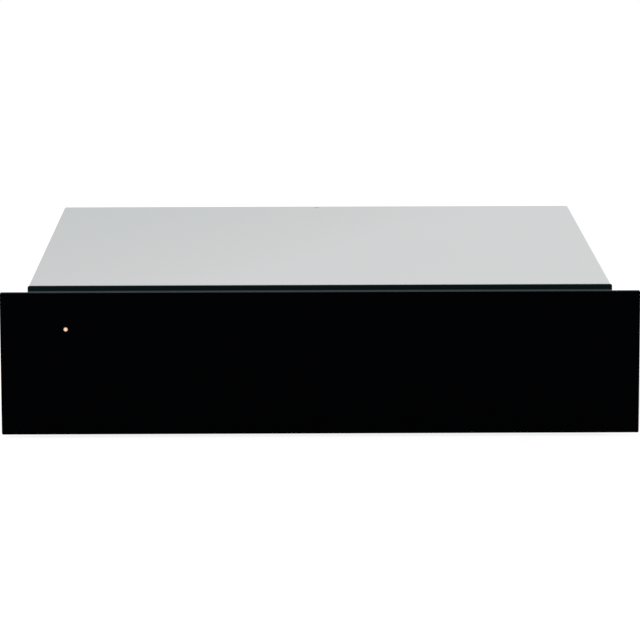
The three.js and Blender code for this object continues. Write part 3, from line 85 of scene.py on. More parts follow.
# %% Make the camera
camera = bpy.data.objects.new("camera", bpy.data.cameras.new("camera"))
bpy.context.scene.collection.objects.link(camera)
camera.data.sensor_width = 36
camera.data.lens = 197.48
camera.data.clip_end = 100
camera_place = (-0.0230, -3.4942, 0.6653)
tilt = Matrix.Rotation(radians(-9.79), 4, "X")
lean = Matrix.Rotation(radians(0.198), 4, "Y")
swing = Matrix.Rotation(radians(-0.400), 4, "Z")
upright = Matrix.Rotation(radians(90), 4, "X")
camera.matrix_world = Matrix.Translation(camera_place) @ tilt @ lean @ swing @ upright
bpy.context.scene.camera = camera
print("camera at", camera_place)

# %% [markdown]
# ## Floor, background and light
# A catalogue photograph stands on pure white. A white floor under strong lamps would be simpler, but
# that much light would wash out the drawer. So one large disc is the floor: to the camera, to gloss
# and to glass it adds its own pale glow to the light that falls on it, and is white with a soft
# shadow under the drawer. The world is the same white behind it. Two broad lamps at a plain level
# model the bends and edges.

# %% Helpers for selecting and naming
def deselect():
    if bpy.context.object and bpy.context.object.mode != "OBJECT":
        bpy.ops.object.mode_set(mode="OBJECT")
    bpy.ops.object.select_all(action="DESELECT")


def active(piece):
    deselect()
    bpy.context.view_layer.objects.active = piece
    piece.select_set(True)


def named(name):
    piece = bpy.context.object
    piece.name = name
    piece.data.name = name
    return piece


# %% Helpers for nodes
def plugged(tree, socket, value):
    """Links a node or another socket to this one, or sets a plain value on it."""
    if isinstance(value, bpy.types.Node):
        value = value.outputs[0]
    if isinstance(value, bpy.types.NodeSocket):
        tree.links.new(value, socket)
    else:
        socket.default_value = value


def node(tree, kind, inputs=(), **settings):
    """Adds a node, sets it, and fills its inputs by their name or number."""
    made = tree.nodes.new("ShaderNode" + kind)
    for label, value in settings.items():
        setattr(made, label, value)
    for label, value in dict(inputs).items():
        plugged(tree, made.inputs[label], value)
    return made


def math(tree, operation, first, second, clamp=False):
    return node(tree, "Math", {0: first, 1: second}, operation=operation, use_clamp=clamp).outputs[0]


def emptied(owner):
    owner.use_nodes = True
    owner.node_tree.nodes.clear()
    return owner.node_tree


def by_ray(tree, output, unseen, shown):
    """Puts out one shader for the camera, gloss and glass, and the other for all other rays."""
    path = node(tree, "LightPath").outputs
    share = path["Is Camera Ray"]
    for kind in ("Is Glossy Ray", "Is Transmission Ray"):
        share = math(tree, "MAXIMUM", share, path[kind])
    chosen = node(tree, "MixShader", {0: share, 1: unseen, 2: shown})
    node(tree, "Output" + output, {0: chosen})


# %% Make the floor
deselect()
bpy.ops.mesh.primitive_circle_add(vertices=96, radius=40, fill_type="NGON", location=(0, 0, -0.0004))
floor = named("floor")
bpy.ops.object.transform_apply(location=True)
white = bpy.data.materials.new("studio_floor")
tree = emptied(white)
plain = node(tree, "BsdfDiffuse", {"Color": (0.8, 0.8, 0.8, 1)})
shaded = node(tree, "BsdfDiffuse", {"Color": (0.2, 0.2, 0.2, 1)})
glow = node(tree, "Emission", {"Strength": 0.87})
by_ray(tree, "Material", plain, node(tree, "AddShader", {0: shaded, 1: glow}))
floor.data.materials.append(white)
print("floor:", len(floor.data.vertices), "corners,", white.name)

# %% Light the world and hang the lamps
world = bpy.data.worlds.new("studio")
bpy.context.scene.world = world
tree = emptied(world)
lighting = node(tree, "Background", {"Color": (1, 1, 1, 1), "Strength": 0.62})
seen = node(tree, "Background", {"Color": (1, 1, 1, 1)})
by_ray(tree, "World", lighting, seen)
drawer_middle = Vector((0, 0, 0.07))


def hang_lamp(name, place, size, watts):
    """Hangs a broad lamp that points at the middle of the drawer."""
    lamp = bpy.data.objects.new(name, bpy.data.lights.new(name, "AREA"))
    bpy.context.scene.collection.objects.link(lamp)
    lamp.data.shape = "RECTANGLE"
    lamp.data.size, lamp.data.size_y = size
    lamp.data.energy = watts
    lamp.location = place
    lamp.rotation_mode = "QUATERNION"
    lamp.rotation_quaternion = (drawer_middle - Vector(place)).to_track_quat("-Z", "Y")


hang_lamp("key_lamp", (-1.6, -1.5, 2.6), (2.2, 1.6), 42)
hang_lamp("fill_lamp", (2.2, 1.4, 2.2), (2.0, 2.0), 22)
bpy.context.scene.view_settings.view_transform = "Standard"

# %% [markdown]
# ## Effects that several finishes share
# Rolled, brushed and moulded surfaces all carry fine grain, and every edge is a little brighter than
# its face, partly by wear and partly by a painted highlight. Each effect could be laid out again in
# every material, but as a node group that puts out one mask it is built once, and a material sets
# only its own sizes. Grain is noise drawn out along one direction of the piece. The edge mask compares
# the true normal with a rounded one. Dust lies in rare specks on what faces up.

# %% Make the node groups
def new_group(name, inputs, output):
    """A node group, with what comes into it and what goes out of it."""
    group = bpy.data.node_groups.new(name, "ShaderNodeTree")
    for label, kind, value in inputs:
        socket = group.interface.new_socket(label, in_out="INPUT", socket_type="NodeSocket" + kind)
        socket.default_value = value
    group.interface.new_socket(output, in_out="OUTPUT", socket_type="NodeSocketFloat")
    return group, group.nodes.new("NodeGroupInput").outputs, group.nodes.new("NodeGroupOutput").inputs


grain_group, given, result = new_group(
    "drawn_grain", [("Per Metre", "Vector", (400, 400, 400)), ("Detail", "Float", 3)], "Grain"
)
place = node(grain_group, "TexCoord").outputs["Object"]
stretched = node(grain_group, "VectorMath", {0: place, 1: given["Per Metre"]}, operation="MULTIPLY")
noise = node(grain_group, "TexNoise", {"Vector": stretched, "Scale": 1, "Detail": given["Detail"]})
plugged(grain_group, result["Grain"], noise)

# The edge mask lightens edges: partly wear, partly a painted highlight.
edge_group, given, result = new_group("edge_mask", [("Radius", "Float", 0.0006)], "Edge")
rounded = node(edge_group, "Bevel", {"Radius": given["Radius"]}, samples=4)
true_normal = node(edge_group, "NewGeometry").outputs["Normal"]
facing = node(edge_group, "VectorMath", {0: rounded, 1: true_normal}, operation="DOT_PRODUCT")
sharpness = math(edge_group, "SUBTRACT", 1, facing.outputs["Value"])
plugged(edge_group, result["Edge"], math(edge_group, "MULTIPLY", sharpness, 4, clamp=True))

dust_group, given, result = new_group("lying_dust", [("Amount", "Float", 0.3)], "Dust")
place = node(dust_group, "TexCoord").outputs["Object"]
specks = node(dust_group, "TexNoise", {"Vector": place, "Scale": 900, "Detail": 2})
rare = node(dust_group, "MapRange", {"Value": specks, "From Min": 0.6, "From Max": 0.75})
normal = node(dust_group, "SeparateXYZ", {0: node(dust_group, "NewGeometry").outputs["Normal"]})
upward = math(dust_group, "MAXIMUM", normal.outputs["Z"], 0)
lying = math(dust_group, "MULTIPLY", rare, upward)
plugged(dust_group, result["Dust"], math(dust_group, "MULTIPLY", lying, given["Amount"]))
print("node groups:", [g.name for g in bpy.data.node_groups])

# %% [markdown]
# ## One recipe for a finish
# Every finish here has a darker and a lighter tone with a pattern between them, a roughness that
# follows the pattern, fine relief, and edges lightened partly by wear and partly by a painted
# highlight. The nodes could be laid out by hand for each finish, but then no two would match. One
# function lays them out, and each finish gives it its own pattern and numbers. What is the same all
# over the surface is set on the shader itself.

# %% Place grain, spread a value and mix tones
def grain(tree, per_metre, detail=3):
    """Grain that is as fine as this per metre, with one number or with one for each axis."""
    if not isinstance(per_metre, tuple):
        per_metre = (per_metre,) * 3
    return node(tree, "Group", {"Per Metre": per_metre, "Detail": detail}, node_tree=grain_group)


def spread_between(tree, value, low, high, from_low=0.0, from_high=1.0):
    inputs = {"Value": value, "From Min": from_low, "From Max": from_high, "To Min": low, "To Max": high}
    return node(tree, "MapRange", inputs)


def mixed(tree, share, first, second):
    """Mixes two colours. Each is a plain tone, or comes from another node."""
    made = node(tree, "Mix", {0: share}, data_type="RGBA")
    for socket, colour in ((made.inputs[6], first), (made.inputs[7], second)):
        plugged(tree, socket, (*colour, 1) if isinstance(colour, tuple) else colour)
    return made.outputs[2]


# %% Lay out a finish
dust_tone = (0.5, 0.49, 0.46)


def finish(name, pattern, tones, roughness, relief, edge=None, dust=0.0, **plain):
    """A material from a pattern of 0 to 1, two tones, and two values of roughness.

    Relief is a strength and a height, and edge is a radius and a tone that lightens edges,
    partly as wear and partly as a painted highlight.
    """
    material = bpy.data.materials.new(name)
    material.use_nodes = True
    tree = material.node_tree
    value = pattern(tree)
    colour = mixed(tree, value, *tones)
    if edge:
        radius, tone = edge
        # Edges lighter partly by wear and partly by a painted highlight.
        worn_and_highlit = node(tree, "Group", {"Radius": radius}, node_tree=edge_group)
        uneven = spread_between(tree, grain(tree, 90), 0, 1, 0.35, 0.65)
        colour = mixed(tree, math(tree, "MULTIPLY", worn_and_highlit, uneven), colour, tone)
    if dust:
        lying = node(tree, "Group", {"Amount": dust}, node_tree=dust_group)
        colour = mixed(tree, lying, colour, dust_tone)
    strength, height = relief
    inputs = {label.replace("_", " "): number for label, number in plain.items()}
    inputs["Base Color"] = colour
    inputs["Roughness"] = spread_between(tree, value, *roughness, 0.25, 0.75)
    inputs["Normal"] = node(tree, "Bump", {"Strength": strength, "Distance": height, "Height": value})
    for label, given in inputs.items():
        plugged(tree, tree.nodes["Principled BSDF"].inputs[label], given)
    return material


def grained(per_metre, cloud, share):
    """A share of fine grain, and the rest of it broad, slow clouds."""
    def pattern(tree):
        fine = math(tree, "MULTIPLY", grain(tree, per_metre), share)
        slow = math(tree, "MULTIPLY", grain(tree, cloud, 2), 1 - share)
        return math(tree, "ADD", fine, slow)
    return pattern


# %% [markdown]
# ## Metal finishes
# The top plate is satin sheet with a very faint grain across the drawer, over painted shade that
# darkens it towards its back left corner. The tub is brushed stainless steel. The rest of the housing
# is galvanised sheet, whose zinc has grown in flat crystals: a Voronoi pattern gives each crystal its
# own tone. Rails are bright zinc plate, rubbed along their length. The frame round the opening is
# powder coated, a dark green black with the slight ripple of baked powder, and the pan behind the
# glass is painted dark grey. Pictures of such sheet could be laid on too, but noise in metres has the
# right size on every piece, and no seams.

# %% Mix the sheet metals
def satin_with_painted_shade(tree):
    """Fine grain across the sheet over painted shade that darkens its back left corner."""
    place = node(tree, "SeparateXYZ", {0: node(tree, "TexCoord").outputs["Object"]}).outputs
    # Painted shade: the tone darkens towards the back left corner, in place of the light the plate
    # reflects.
    painted_shade_drift = math(tree, "SUBTRACT", place["X"], math(tree, "MULTIPLY", place["Y"], 0.5))
    slow = spread_between(tree, painted_shade_drift, 0, 0.8, -0.42, 0.03)
    return math(tree, "ADD", slow, math(tree, "MULTIPLY", grain(tree, (14, 900, 900)), 0.2))


def crystals(tree):
    """Flat crystals of zinc, 6 to 10 mm across, with fine grain in each."""
    place = node(tree, "TexCoord").outputs["Object"]
    cells = node(tree, "TexVoronoi", {"Vector": place, "Scale": 130}, feature="F1")
    tone = node(tree, "SeparateColor", {0: cells.outputs["Color"]})
    flat = math(tree, "MULTIPLY", tone, 0.5)
    return math(tree, "ADD", flat, math(tree, "MULTIPLY", grain(tree, 700), 0.5))


# The satin plate's pattern carries painted shade, darker towards its back left corner.
satin = finish(
    "satin_steel", satin_with_painted_shade, ((0.446, 0.474, 0.469), (0.574, 0.582, 0.587)), (0.40, 0.47),
    (0.05, 0.00003), (0.0005, (0.70, 0.71, 0.72)), Metallic=0.85,
)
brushed = finish(
    "brushed_stainless", grained((30, 1500, 1500), 5, 0.6),
    ((0.49, 0.49, 0.495), (0.66, 0.66, 0.66)), (0.36, 0.48), (0.12, 0.00004),
    (0.0005, (0.75, 0.75, 0.75)), Metallic=0.75,
)
zinc = finish(
    "galvanised_sheet", crystals, ((0.38, 0.395, 0.405), (0.50, 0.515, 0.525)), (0.38, 0.52),
    (0.06, 0.00003), (0.0005, (0.62, 0.63, 0.64)), 0.08, Metallic=0.9,
)
print("sheet metals:", [m.name for m in (satin, brushed, zinc)])

# %% Mix the plated, painted and other metals
bright = finish(
    "bright_zinc_plate", grained((900, 22, 900), 8, 0.6),
    ((0.52, 0.53, 0.55), (0.72, 0.73, 0.75)), (0.16, 0.27), (0.08, 0.00003),
    (0.0004, (0.85, 0.86, 0.88)), Metallic=1.0,
)
polished = finish(
    "polished_ball_steel", grained(1200, 40, 0.5),
    ((0.60, 0.60, 0.62), (0.72, 0.72, 0.74)), (0.06, 0.12), (0.02, 0.00001), Metallic=1.0,
)
enamel = finish(
    "dark_frame_enamel", grained(420, 5, 0.7),
    ((0.0030, 0.0092, 0.0092), (0.0052, 0.0132, 0.0134)), (0.38, 0.50), (0.25, 0.00008),
    (0.0005, (0.012, 0.018, 0.017)), Specular_IOR_Level=0.03,
)
pan_paint = finish(
    "dark_grey_paint", grained(500, 5, 0.7),
    ((0.019, 0.025, 0.027), (0.025, 0.032, 0.035)), (0.6, 0.75), (0.2, 0.00006),
    (0.0005, (0.042, 0.05, 0.054)), Specular_IOR_Level=0.03,
)
core = finish(
    "laminated_core", grained((60, 2600, 60), 9, 0.7),
    ((0.10, 0.105, 0.11), (0.24, 0.245, 0.25)), (0.42, 0.6), (0.5, 0.00012),
    (0.0005, (0.4, 0.4, 0.4)), Metallic=0.8,
)
heat_tinted = finish(
    "heat_tinted_steel", grained(260, 28, 0.35),
    ((0.10, 0.075, 0.055), (0.27, 0.235, 0.20)), (0.38, 0.55), (0.2, 0.00005), Metallic=0.8,
)
copper = finish(
    "enamelled_copper", grained((240, 240, 2600), 30, 0.6),
    ((0.30, 0.085, 0.025), (0.56, 0.21, 0.075)), (0.22, 0.36), (0.3, 0.0001), Metallic=0.85,
)
print("metals:", [m.name for m in (bright, polished, enamel, pan_paint, core, heat_tinted, copper)])

# %% [markdown]
# ## Plastic, rubber, wool and ceramic
# Moulded plastic copies the spark-eroded grain of its tool, so its relief is fine and even. Rubber is
# duller and a little cloudy. Mineral wool is a felt of fibres, so its grain is drawn out in two
# directions and mixed. The terminal strip is unglazed ceramic with small pores. Such relief could be
# cut into the meshes, but it is finer than any of their faces, so it stays in the bump.

# %% Mix the plastics and rubbers
black_plastic = finish(
    "black_moulded_plastic", grained(1300, 14, 0.8),
    ((0.010, 0.0102, 0.011), (0.017, 0.0172, 0.018)), (0.40, 0.55), (0.22, 0.00006),
    (0.0004, (0.045, 0.045, 0.047)),
)
grey_plastic = finish(
    "grey_moulded_plastic", grained(1100, 12, 0.7),
    ((0.21, 0.22, 0.225), (0.28, 0.29, 0.295)), (0.42, 0.58), (0.2, 0.00006),
    (0.0004, (0.42, 0.43, 0.44)),
)
rubber = finish(
    "black_rubber", grained(800, 25, 0.5),
    ((0.0075, 0.0077, 0.008), (0.016, 0.016, 0.0165)), (0.62, 0.82), (0.3, 0.00008),
    (0.0004, (0.03, 0.03, 0.03)), 0.06, Specular_IOR_Level=0.3,
)
mat_rubber = finish(
    "grey_mat_rubber", grained(900, 7, 0.5),
    ((0.034, 0.035, 0.0365), (0.054, 0.0555, 0.057)), (0.55, 0.75), (0.3, 0.00008),
    (0.0005, (0.09, 0.09, 0.093)), 0.06, Specular_IOR_Level=0.4,
)
print("plastics and rubbers:", [m.name for m in (black_plastic, grey_plastic, rubber, mat_rubber)])

# %% Mix the wool, ceramic, print and sleeve
def fibres(tree):
    return math(tree, "MAXIMUM", grain(tree, (60, 1500, 900), 4), grain(tree, (1500, 70, 800), 4))


wool = finish(
    "mineral_wool", fibres, ((0.30, 0.25, 0.13), (0.66, 0.60, 0.42)), (0.85, 1.0), (0.9, 0.0006),
    Specular_IOR_Level=0.1,
)
ceramic = finish(
    "terminal_ceramic", grained(1500, 30, 0.5),
    ((0.60, 0.57, 0.50), (0.74, 0.71, 0.64)), (0.5, 0.7), (0.15, 0.00005),
)
white_print = finish(
    "white_print", grained(2200, 60, 0.5),
    ((0.55, 0.55, 0.55), (0.68, 0.68, 0.68)), (0.45, 0.6), (0.1, 0.00002),
)
loom_sleeve = finish(
    "loom_sleeve", grained(500, 20, 0.5),
    ((0.009, 0.009, 0.0095), (0.02, 0.02, 0.021)), (0.5, 0.7), (0.3, 0.00008),
)
print("others:", [m.name for m in (wool, ceramic, white_print, loom_sleeve)])

# %% [markdown]
# ## Glass, its lamp window and the neon glow
# The front is a pane of toughened glass, printed black on its back, so it looks pure black and
# glossy, with faint wiping marks that show only in its gloss. Clear glass over a black sheet would be
# nearer to the real pane, but it takes far longer to render and looks the same. The pane's ground
# edge is dull and a little grey. The print leaves one dot free, where the neon lamp shows peach white
# with an orange rim.

# %% Mix the glass
black_glass = finish(
    "black_glass", grained((22, 60, 30), (4, 4, 5), 0.5),
    ((0.0003, 0.0004, 0.0007), (0.0004, 0.0006, 0.0011)), (0.025, 0.06), (0.01, 0.00001),
    Specular_IOR_Level=0.006, IOR=1.5,
)
ground_glass = finish(
    "ground_glass_edge", grained(500, 20, 0.6),
    ((0.020, 0.026, 0.029), (0.026, 0.032, 0.036)), (0.5, 0.65), (0.2, 0.00005),
    Specular_IOR_Level=0.02,
)
print("glass:", [m.name for m in (black_glass, ground_glass)])

# %% Mix the glow
def round_glow(name, centre, radius, core_tone, rim_tone, strength):
    """Light through a round window: bright in the middle and orange towards the rim."""
    material = bpy.data.materials.new(name)
    material.use_nodes = True
    tree = material.node_tree
    centred = {"Vector": node(tree, "TexCoord").outputs["Object"], "Location": [-v for v in centre]}
    moved = node(tree, "Mapping", centred, vector_type="POINT")
    flat = node(tree, "VectorMath", {0: moved, 1: (1, 0, 1)}, operation="MULTIPLY")
    reach = node(tree, "VectorMath", {0: flat}, operation="LENGTH").outputs["Value"]
    rim = spread_between(tree, reach, 0, 1, radius * 0.55, radius)
    uneven = math(tree, "MULTIPLY", grain(tree, 900), 0.15)
    tone = mixed(tree, math(tree, "ADD", rim, uneven, clamp=True), core_tone, rim_tone)
    inputs = {
        "Base Color": (0.02, 0.008, 0.004, 1), "Roughness": 0.2,
        "Emission Color": tone, "Emission Strength": strength,
    }
    for label, value in inputs.items():
        plugged(tree, tree.nodes["Principled BSDF"].inputs[label], value)
    return material


# %% Give every solid its finish
by_slot = {
    "black_glass": black_glass, "satin_steel": satin, "zinc": zinc, "dark_enamel": enamel,
    "grey_paint": pan_paint, "black_rubber": rubber, "mat_rubber": mat_rubber,
    "loom_rubber": loom_sleeve, "stainless": brushed, "bright_steel": bright, "mineral_wool": wool,
    "ceramic": ceramic, "core_steel": core, "copper": copper, "heater_steel": heat_tinted,
    "black_plastic": black_plastic, "grey_plastic": grey_plastic,
}
slot_of = {part["node"]: part["material_slot"] for part in frame["record"]["subparts"]}
body_of = {name: body for body, names in frame["record"]["behaviour"]["bodies"].items() for name in names}
for name, solid in nodes.items():
    solid.data.materials.clear()
    solid.data.materials.append(by_slot.get(slot_of[name], white_print))
print("finishes given:", len(nodes))

# %% [markdown]
# ## Tools of the bench
# A new piece starts as a block, a drum or a ball at its real size and place. Faces and edges are then
# picked by their place or normal, and shaped in edit mode. A folded sheet whose solid already has the
# right shape is copied instead: its loose triangles are merged, its flat faces joined, its raw edges
# broken, and its bends shaded smooth. Every step could be typed out for each piece, but one tool for
# each step keeps the lesson short.

# %% Start a piece
def block(name, low, high):
    middle = [(a + b) / 2 for a, b in zip(low, high)]
    deselect()
    bpy.ops.mesh.primitive_cube_add(size=1, location=middle, scale=[b - a for a, b in zip(low, high)])
    bpy.ops.object.transform_apply(location=True, rotation=True, scale=True)
    return named(name)


TURNED = {"X": (0, pi / 2, 0), "Y": (pi / 2, 0, 0), "Z": (0, 0, 0)}


def drum(name, middle, axis, radius, depth, sides=32):
    deselect()
    bpy.ops.mesh.primitive_cylinder_add(
        vertices=sides, radius=radius, depth=depth, location=middle, rotation=TURNED[axis]
    )
    bpy.ops.object.transform_apply(location=True, rotation=True, scale=True)
    return named(name)


# %% Pick and shape
def done_editing():
    bpy.ops.object.mode_set(mode="OBJECT")


def pick(piece, kind, test=None):
    """Selects the vertices, edges or faces that pass a test, or all of them, and stays in edit mode."""
    active(piece)
    bpy.ops.object.mode_set(mode="EDIT")
    bpy.ops.mesh.select_mode(type=kind)
    bpy.ops.mesh.select_all(action="DESELECT" if test else "SELECT")
    if not test:
        return
    done_editing()
    mesh = piece.data
    if kind == "VERT":
        for vertex in mesh.vertices:
            vertex.select = test(vertex.co)
    elif kind == "EDGE":
        for edge in mesh.edges:
            edge.select = test(*[mesh.vertices[index].co for index in edge.vertices])
    else:
        for face in mesh.polygons:
            face.select = test(face.center, face.normal)
    bpy.ops.object.mode_set(mode="EDIT")


def faces_up(middle, normal):
    return normal.z > 0.9


def faces_front(middle, normal):
    return normal.y < -0.9


def stepped(piece, test, insets, shift):
    """Insets the faces that pass a test once or more, and shifts what is left in the middle."""
    pick(piece, "FACE", test)
    for width in insets:
        bpy.ops.mesh.inset(thickness=width)
    bpy.ops.transform.translate(value=shift)
    done_editing()


def rounded_edges(piece, test, offset, segments, **settings):
    """Bevels only the edges that pass a test of their two ends."""
    pick(piece, "EDGE", test)
    bpy.ops.mesh.bevel(offset=offset, segments=segments, affect="EDGES", **settings)
    done_editing()


# %% Cut, repeat, ease and shade
def modified(piece, kind, **settings):
    active(piece)
    modifier = piece.modifiers.new(kind.lower(), kind)
    for label, value in settings.items():
        setattr(modifier, label, value)
    bpy.ops.object.modifier_apply(modifier=modifier.name)


def cut_by(piece, tool):
    modified(piece, "BOOLEAN", operation="DIFFERENCE", object=tool, solver="EXACT")
    bpy.data.objects.remove(tool)
    return piece


def repeated(piece, count, step):
    modified(
        piece, "ARRAY", count=count, use_relative_offset=False, use_constant_offset=True,
        constant_offset_displace=step,
    )


def eased(piece, width, segments=2, angle=30):
    """Breaks every edge sharper than the angle."""
    modified(
        piece, "BEVEL", width=width, segments=segments, limit_method="ANGLE",
        angle_limit=radians(angle), use_clamp_overlap=True,
    )


def smooth(piece, angle=38):
    active(piece)
    bpy.ops.object.shade_smooth_by_angle(angle=radians(angle))


def level_shaded(piece, angle=38):
    """Smooth bends, with each wide flat face kept flat up to its edge."""
    smooth(piece, angle)
    modified(piece, "WEIGHTED_NORMAL", keep_sharp=True)


# %% Finish and copy
def fit(piece, body, material, instead_of=()):
    """Gives a finished piece its material and body, and says which solids it stands for."""
    piece.data.materials.clear()
    piece.data.materials.append(material)
    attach(piece, body)
    if instead_of:
        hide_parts(*instead_of)


def copy_of(piece, name):
    twin = bpy.data.objects.new(name, piece.data.copy())
    twin.data.name = name
    bpy.context.scene.collection.objects.link(twin)
    return twin


def merged_copy(name, title):
    """A copy of a solid with its triangles merged into whole flat faces."""
    piece = bpy.data.objects.new(title, nodes[name].data.copy())
    bpy.context.scene.collection.objects.link(piece)
    pick(piece, "VERT")
    bpy.ops.mesh.remove_doubles(threshold=0.002 * MM)
    bpy.ops.mesh.dissolve_limited(angle_limit=radians(0.6))
    done_editing()
    return piece


# %% [markdown]
# ## Folded sheet
# Top plate, panels, covers, brackets and the tub are all cut and folded from sheet. Their solids have
# the bends, vents and holes, so they are copied and finished: raw edges get a fine break that catches
# the light, and bends turn smooth. A bend could also be modelled anew with the bevel tool, but then
# it would have to meet every hole and flange again.

# %% Finish the folded sheet
sheets = {
    "top_plate": satin, "front_pan": pan_paint, "front_frame": enamel, "base_pan": zinc,
    "side_panel_left": zinc, "side_panel_right": zinc, "back_panel": zinc,
    "rail_bracket_left": zinc, "rail_bracket_right": zinc, "latch_bracket": zinc,
    "drawer_tub": brushed, "under_cover": zinc, "rear_cover": zinc, "air_baffle": zinc,
    "heater_flange": brushed, "front_wall": brushed,
}
cut_edge = 0.18 * MM
for name, material in sheets.items():
    sheet = merged_copy(name, name + "_sheet")
    eased(sheet, cut_edge, 1, 45)
    level_shaded(sheet)
    fit(sheet, body_of[name], material, [name])

# %% [markdown]
# ## The glass front
# A toughened pane has its corners rounded and its edges ground before it is hardened. A block at the
# pane's size gets its four corners bevelled, and then a fine chamfer all round its face and back. One
# bevel of all edges would be quicker, but corner and chamfer have different sizes. The ground faces
# are picked by their normals and get a duller material. Behind the free dot in the black print a
# clear rod ends, so a short plug with a slightly domed end glows there.

# %% Make the pane
low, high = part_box("front_glass")
pane = block("front_glass_pane", low, high)
rounded_edges(pane, lambda a, b: abs(a.y - b.y) > 1 * MM, 1.5 * MM, 5)
rounded_edges(pane, lambda a, b: abs(a.y - b.y) < 0.001 * MM, 0.5 * MM, 2)
lamp_at = (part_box("light_guide")[0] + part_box("light_guide")[1]) / 2
window_radius = 2.0 * MM
cut_by(pane, drum("window_drill", (lamp_at.x, low.y, lamp_at.z), "Y", window_radius, 20 * MM))
smooth(pane, 30)
fit(pane, "drawer", black_glass, ["front_glass"])
pane.data.materials.append(ground_glass)
for face in pane.data.polygons:
    face.material_index = int(abs(face.normal.y) < 0.9)
print("pane:", len(pane.data.polygons), "faces")

# %% Make the lamp window
lit = round_glow("neon_glow", lamp_at, window_radius, (1.0, 0.74, 0.54), (0.42, 0.17, 0.07), 1.0)
depth = (high.y - low.y) - 0.2 * MM
window_middle = (lamp_at.x, low.y + 0.1 * MM + depth / 2, lamp_at.z)
window = drum("lamp_window", window_middle, "Y", window_radius - 0.03 * MM, depth)
stepped(window, faces_front, (0.5 * MM, 0.7 * MM), (0, -0.08 * MM, 0))
smooth(window, 50)
fit(window, "drawer", lit)
print("lamp window:", len(window.data.polygons), "faces")

# %% [markdown]
# ## The sealing gasket
# The gasket is extruded rubber with two lips and a groove between them, cut to lengths and welded at
# the corners. Its section could be drawn and swept round the frame, but its plain solid already has
# the corners, so a copy is enough: the face that meets the drawer's front is inset twice and the
# middle band pushed in, which leaves the lips.

# %% Make the gasket
gasket = merged_copy("frame_gasket", "frame_gasket_lips")
stepped(gasket, faces_front, (1.0 * MM, 0.25 * MM), (0, 1.4 * MM, 0))
eased(gasket, 0.35 * MM, 2, 50)
smooth(gasket)
fit(gasket, "housing", rubber, ["frame_gasket"])
print("gasket:", len(gasket.data.polygons), "faces")

# %% [markdown]
# ## The anti-slip mat
# Cups stand on a rubber mat with rows of raised dots, moulded with it. The dots could be relief in
# the material, but then they would vanish from the side. One dot is a low drum with few sides, drawn
# in at its top. Two array modifiers lay out the rows, and the dots that would stand outside the mat,
# at its cut corner, are picked by place and deleted.

# %% Make the mat
mat = merged_copy("anti_slip_mat", "mat_sheet")
eased(mat, 0.5 * MM, 2, 50)
smooth(mat)
fit(mat, "drawer", mat_rubber, ["anti_slip_mat"])
low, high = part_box("anti_slip_mat")
pitch = 11 * MM
bare_rim = 12 * MM
columns = int((high.x - low.x - bare_rim) / pitch) + 1
rows = int((high.y - low.y - bare_rim) / pitch) + 1
first = Vector((-(columns - 1) / 2 * pitch, (low.y + high.y) / 2 - (rows - 1) / 2 * pitch, high.z))
dots = drum("mat_dots", first + Vector((0, 0, 0.25 * MM)), "Z", 2.2 * MM, 0.9 * MM, 10)
stepped(dots, faces_up, (0.5 * MM,), (0, 0, 0.18 * MM))
repeated(dots, columns, (pitch, 0, 0))
repeated(dots, rows, (0, pitch, 0))
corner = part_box("control_housing")[1]
reach = 5 * MM
pick(dots, "VERT", lambda at: at.x < corner.x + reach and at.y < corner.y + reach)
bpy.ops.mesh.select_linked()
bpy.ops.mesh.delete(type="VERT")
done_editing()
smooth(dots, 50)
fit(dots, "drawer", mat_rubber)
print("mat:", columns, "x", rows, "dots,", len(dots.data.polygons), "faces")

# %% [markdown]
# ## Ball-bearing runners
# Each runner has three rolled rails that nest in each other, with steel balls in cages between them.
# The rails' solids have the true races, so their copies only need smooth rolling and broken edges.
# The rails could be extruded from drawn sections, but their races would have to fit the balls anew.
# The balls are modelled once as a fine sphere and copied along both rows of each cage. They sit
# where the solids have them, with one more between each pair.

# %% Finish the rails and cages
runner_faces = 0
for side in ("left", "right"):
    for part in ("outer_rail", "middle_rail", "inner_rail", "outer_ball_cage", "inner_ball_cage"):
        name = f"{part}_{side}"
        rail = merged_copy(name, name + "_rolled")
        if part.endswith("rail"):
            eased(rail, 0.12 * MM, 1, 60)
        level_shaded(rail, 42)
        fit(rail, body_of[name], bright, [name])
        runner_faces += len(rail.data.polygons)
print("rails and cages:", runner_faces, "faces")

# %% Find the races and turn one ball
# A ball's place is the x and z of its middle, in the upper row of the right runner. Half the rail's
# height and the radius of a race are measured to the middle of the sheet.
ball_radius = 1.6 * MM
play = 0.3 * MM
half_sheet = 0.6 * MM
half_height = 21.9 * MM
race = ball_radius + play + half_sheet
race_angle = radians(35)
rail_low, rail_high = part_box("outer_rail_right")
runner_middle = (rail_low.z + rail_high.z) / 2
outer_ball = Vector((rail_high.x - half_sheet - race, runner_middle + half_height - race))
inner_ball = outer_ball + Vector((-cos(race_angle), -sin(race_angle))) * 2 * race
deselect()
bpy.ops.mesh.primitive_uv_sphere_add(segments=20, ring_count=12, radius=ball_radius)
model_ball = named("model_ball")
smooth(model_ball, 180)
print("races:", [tuple(round(v / MM, 1) for v in at) for at in (outer_ball, inner_ball)], "mm")

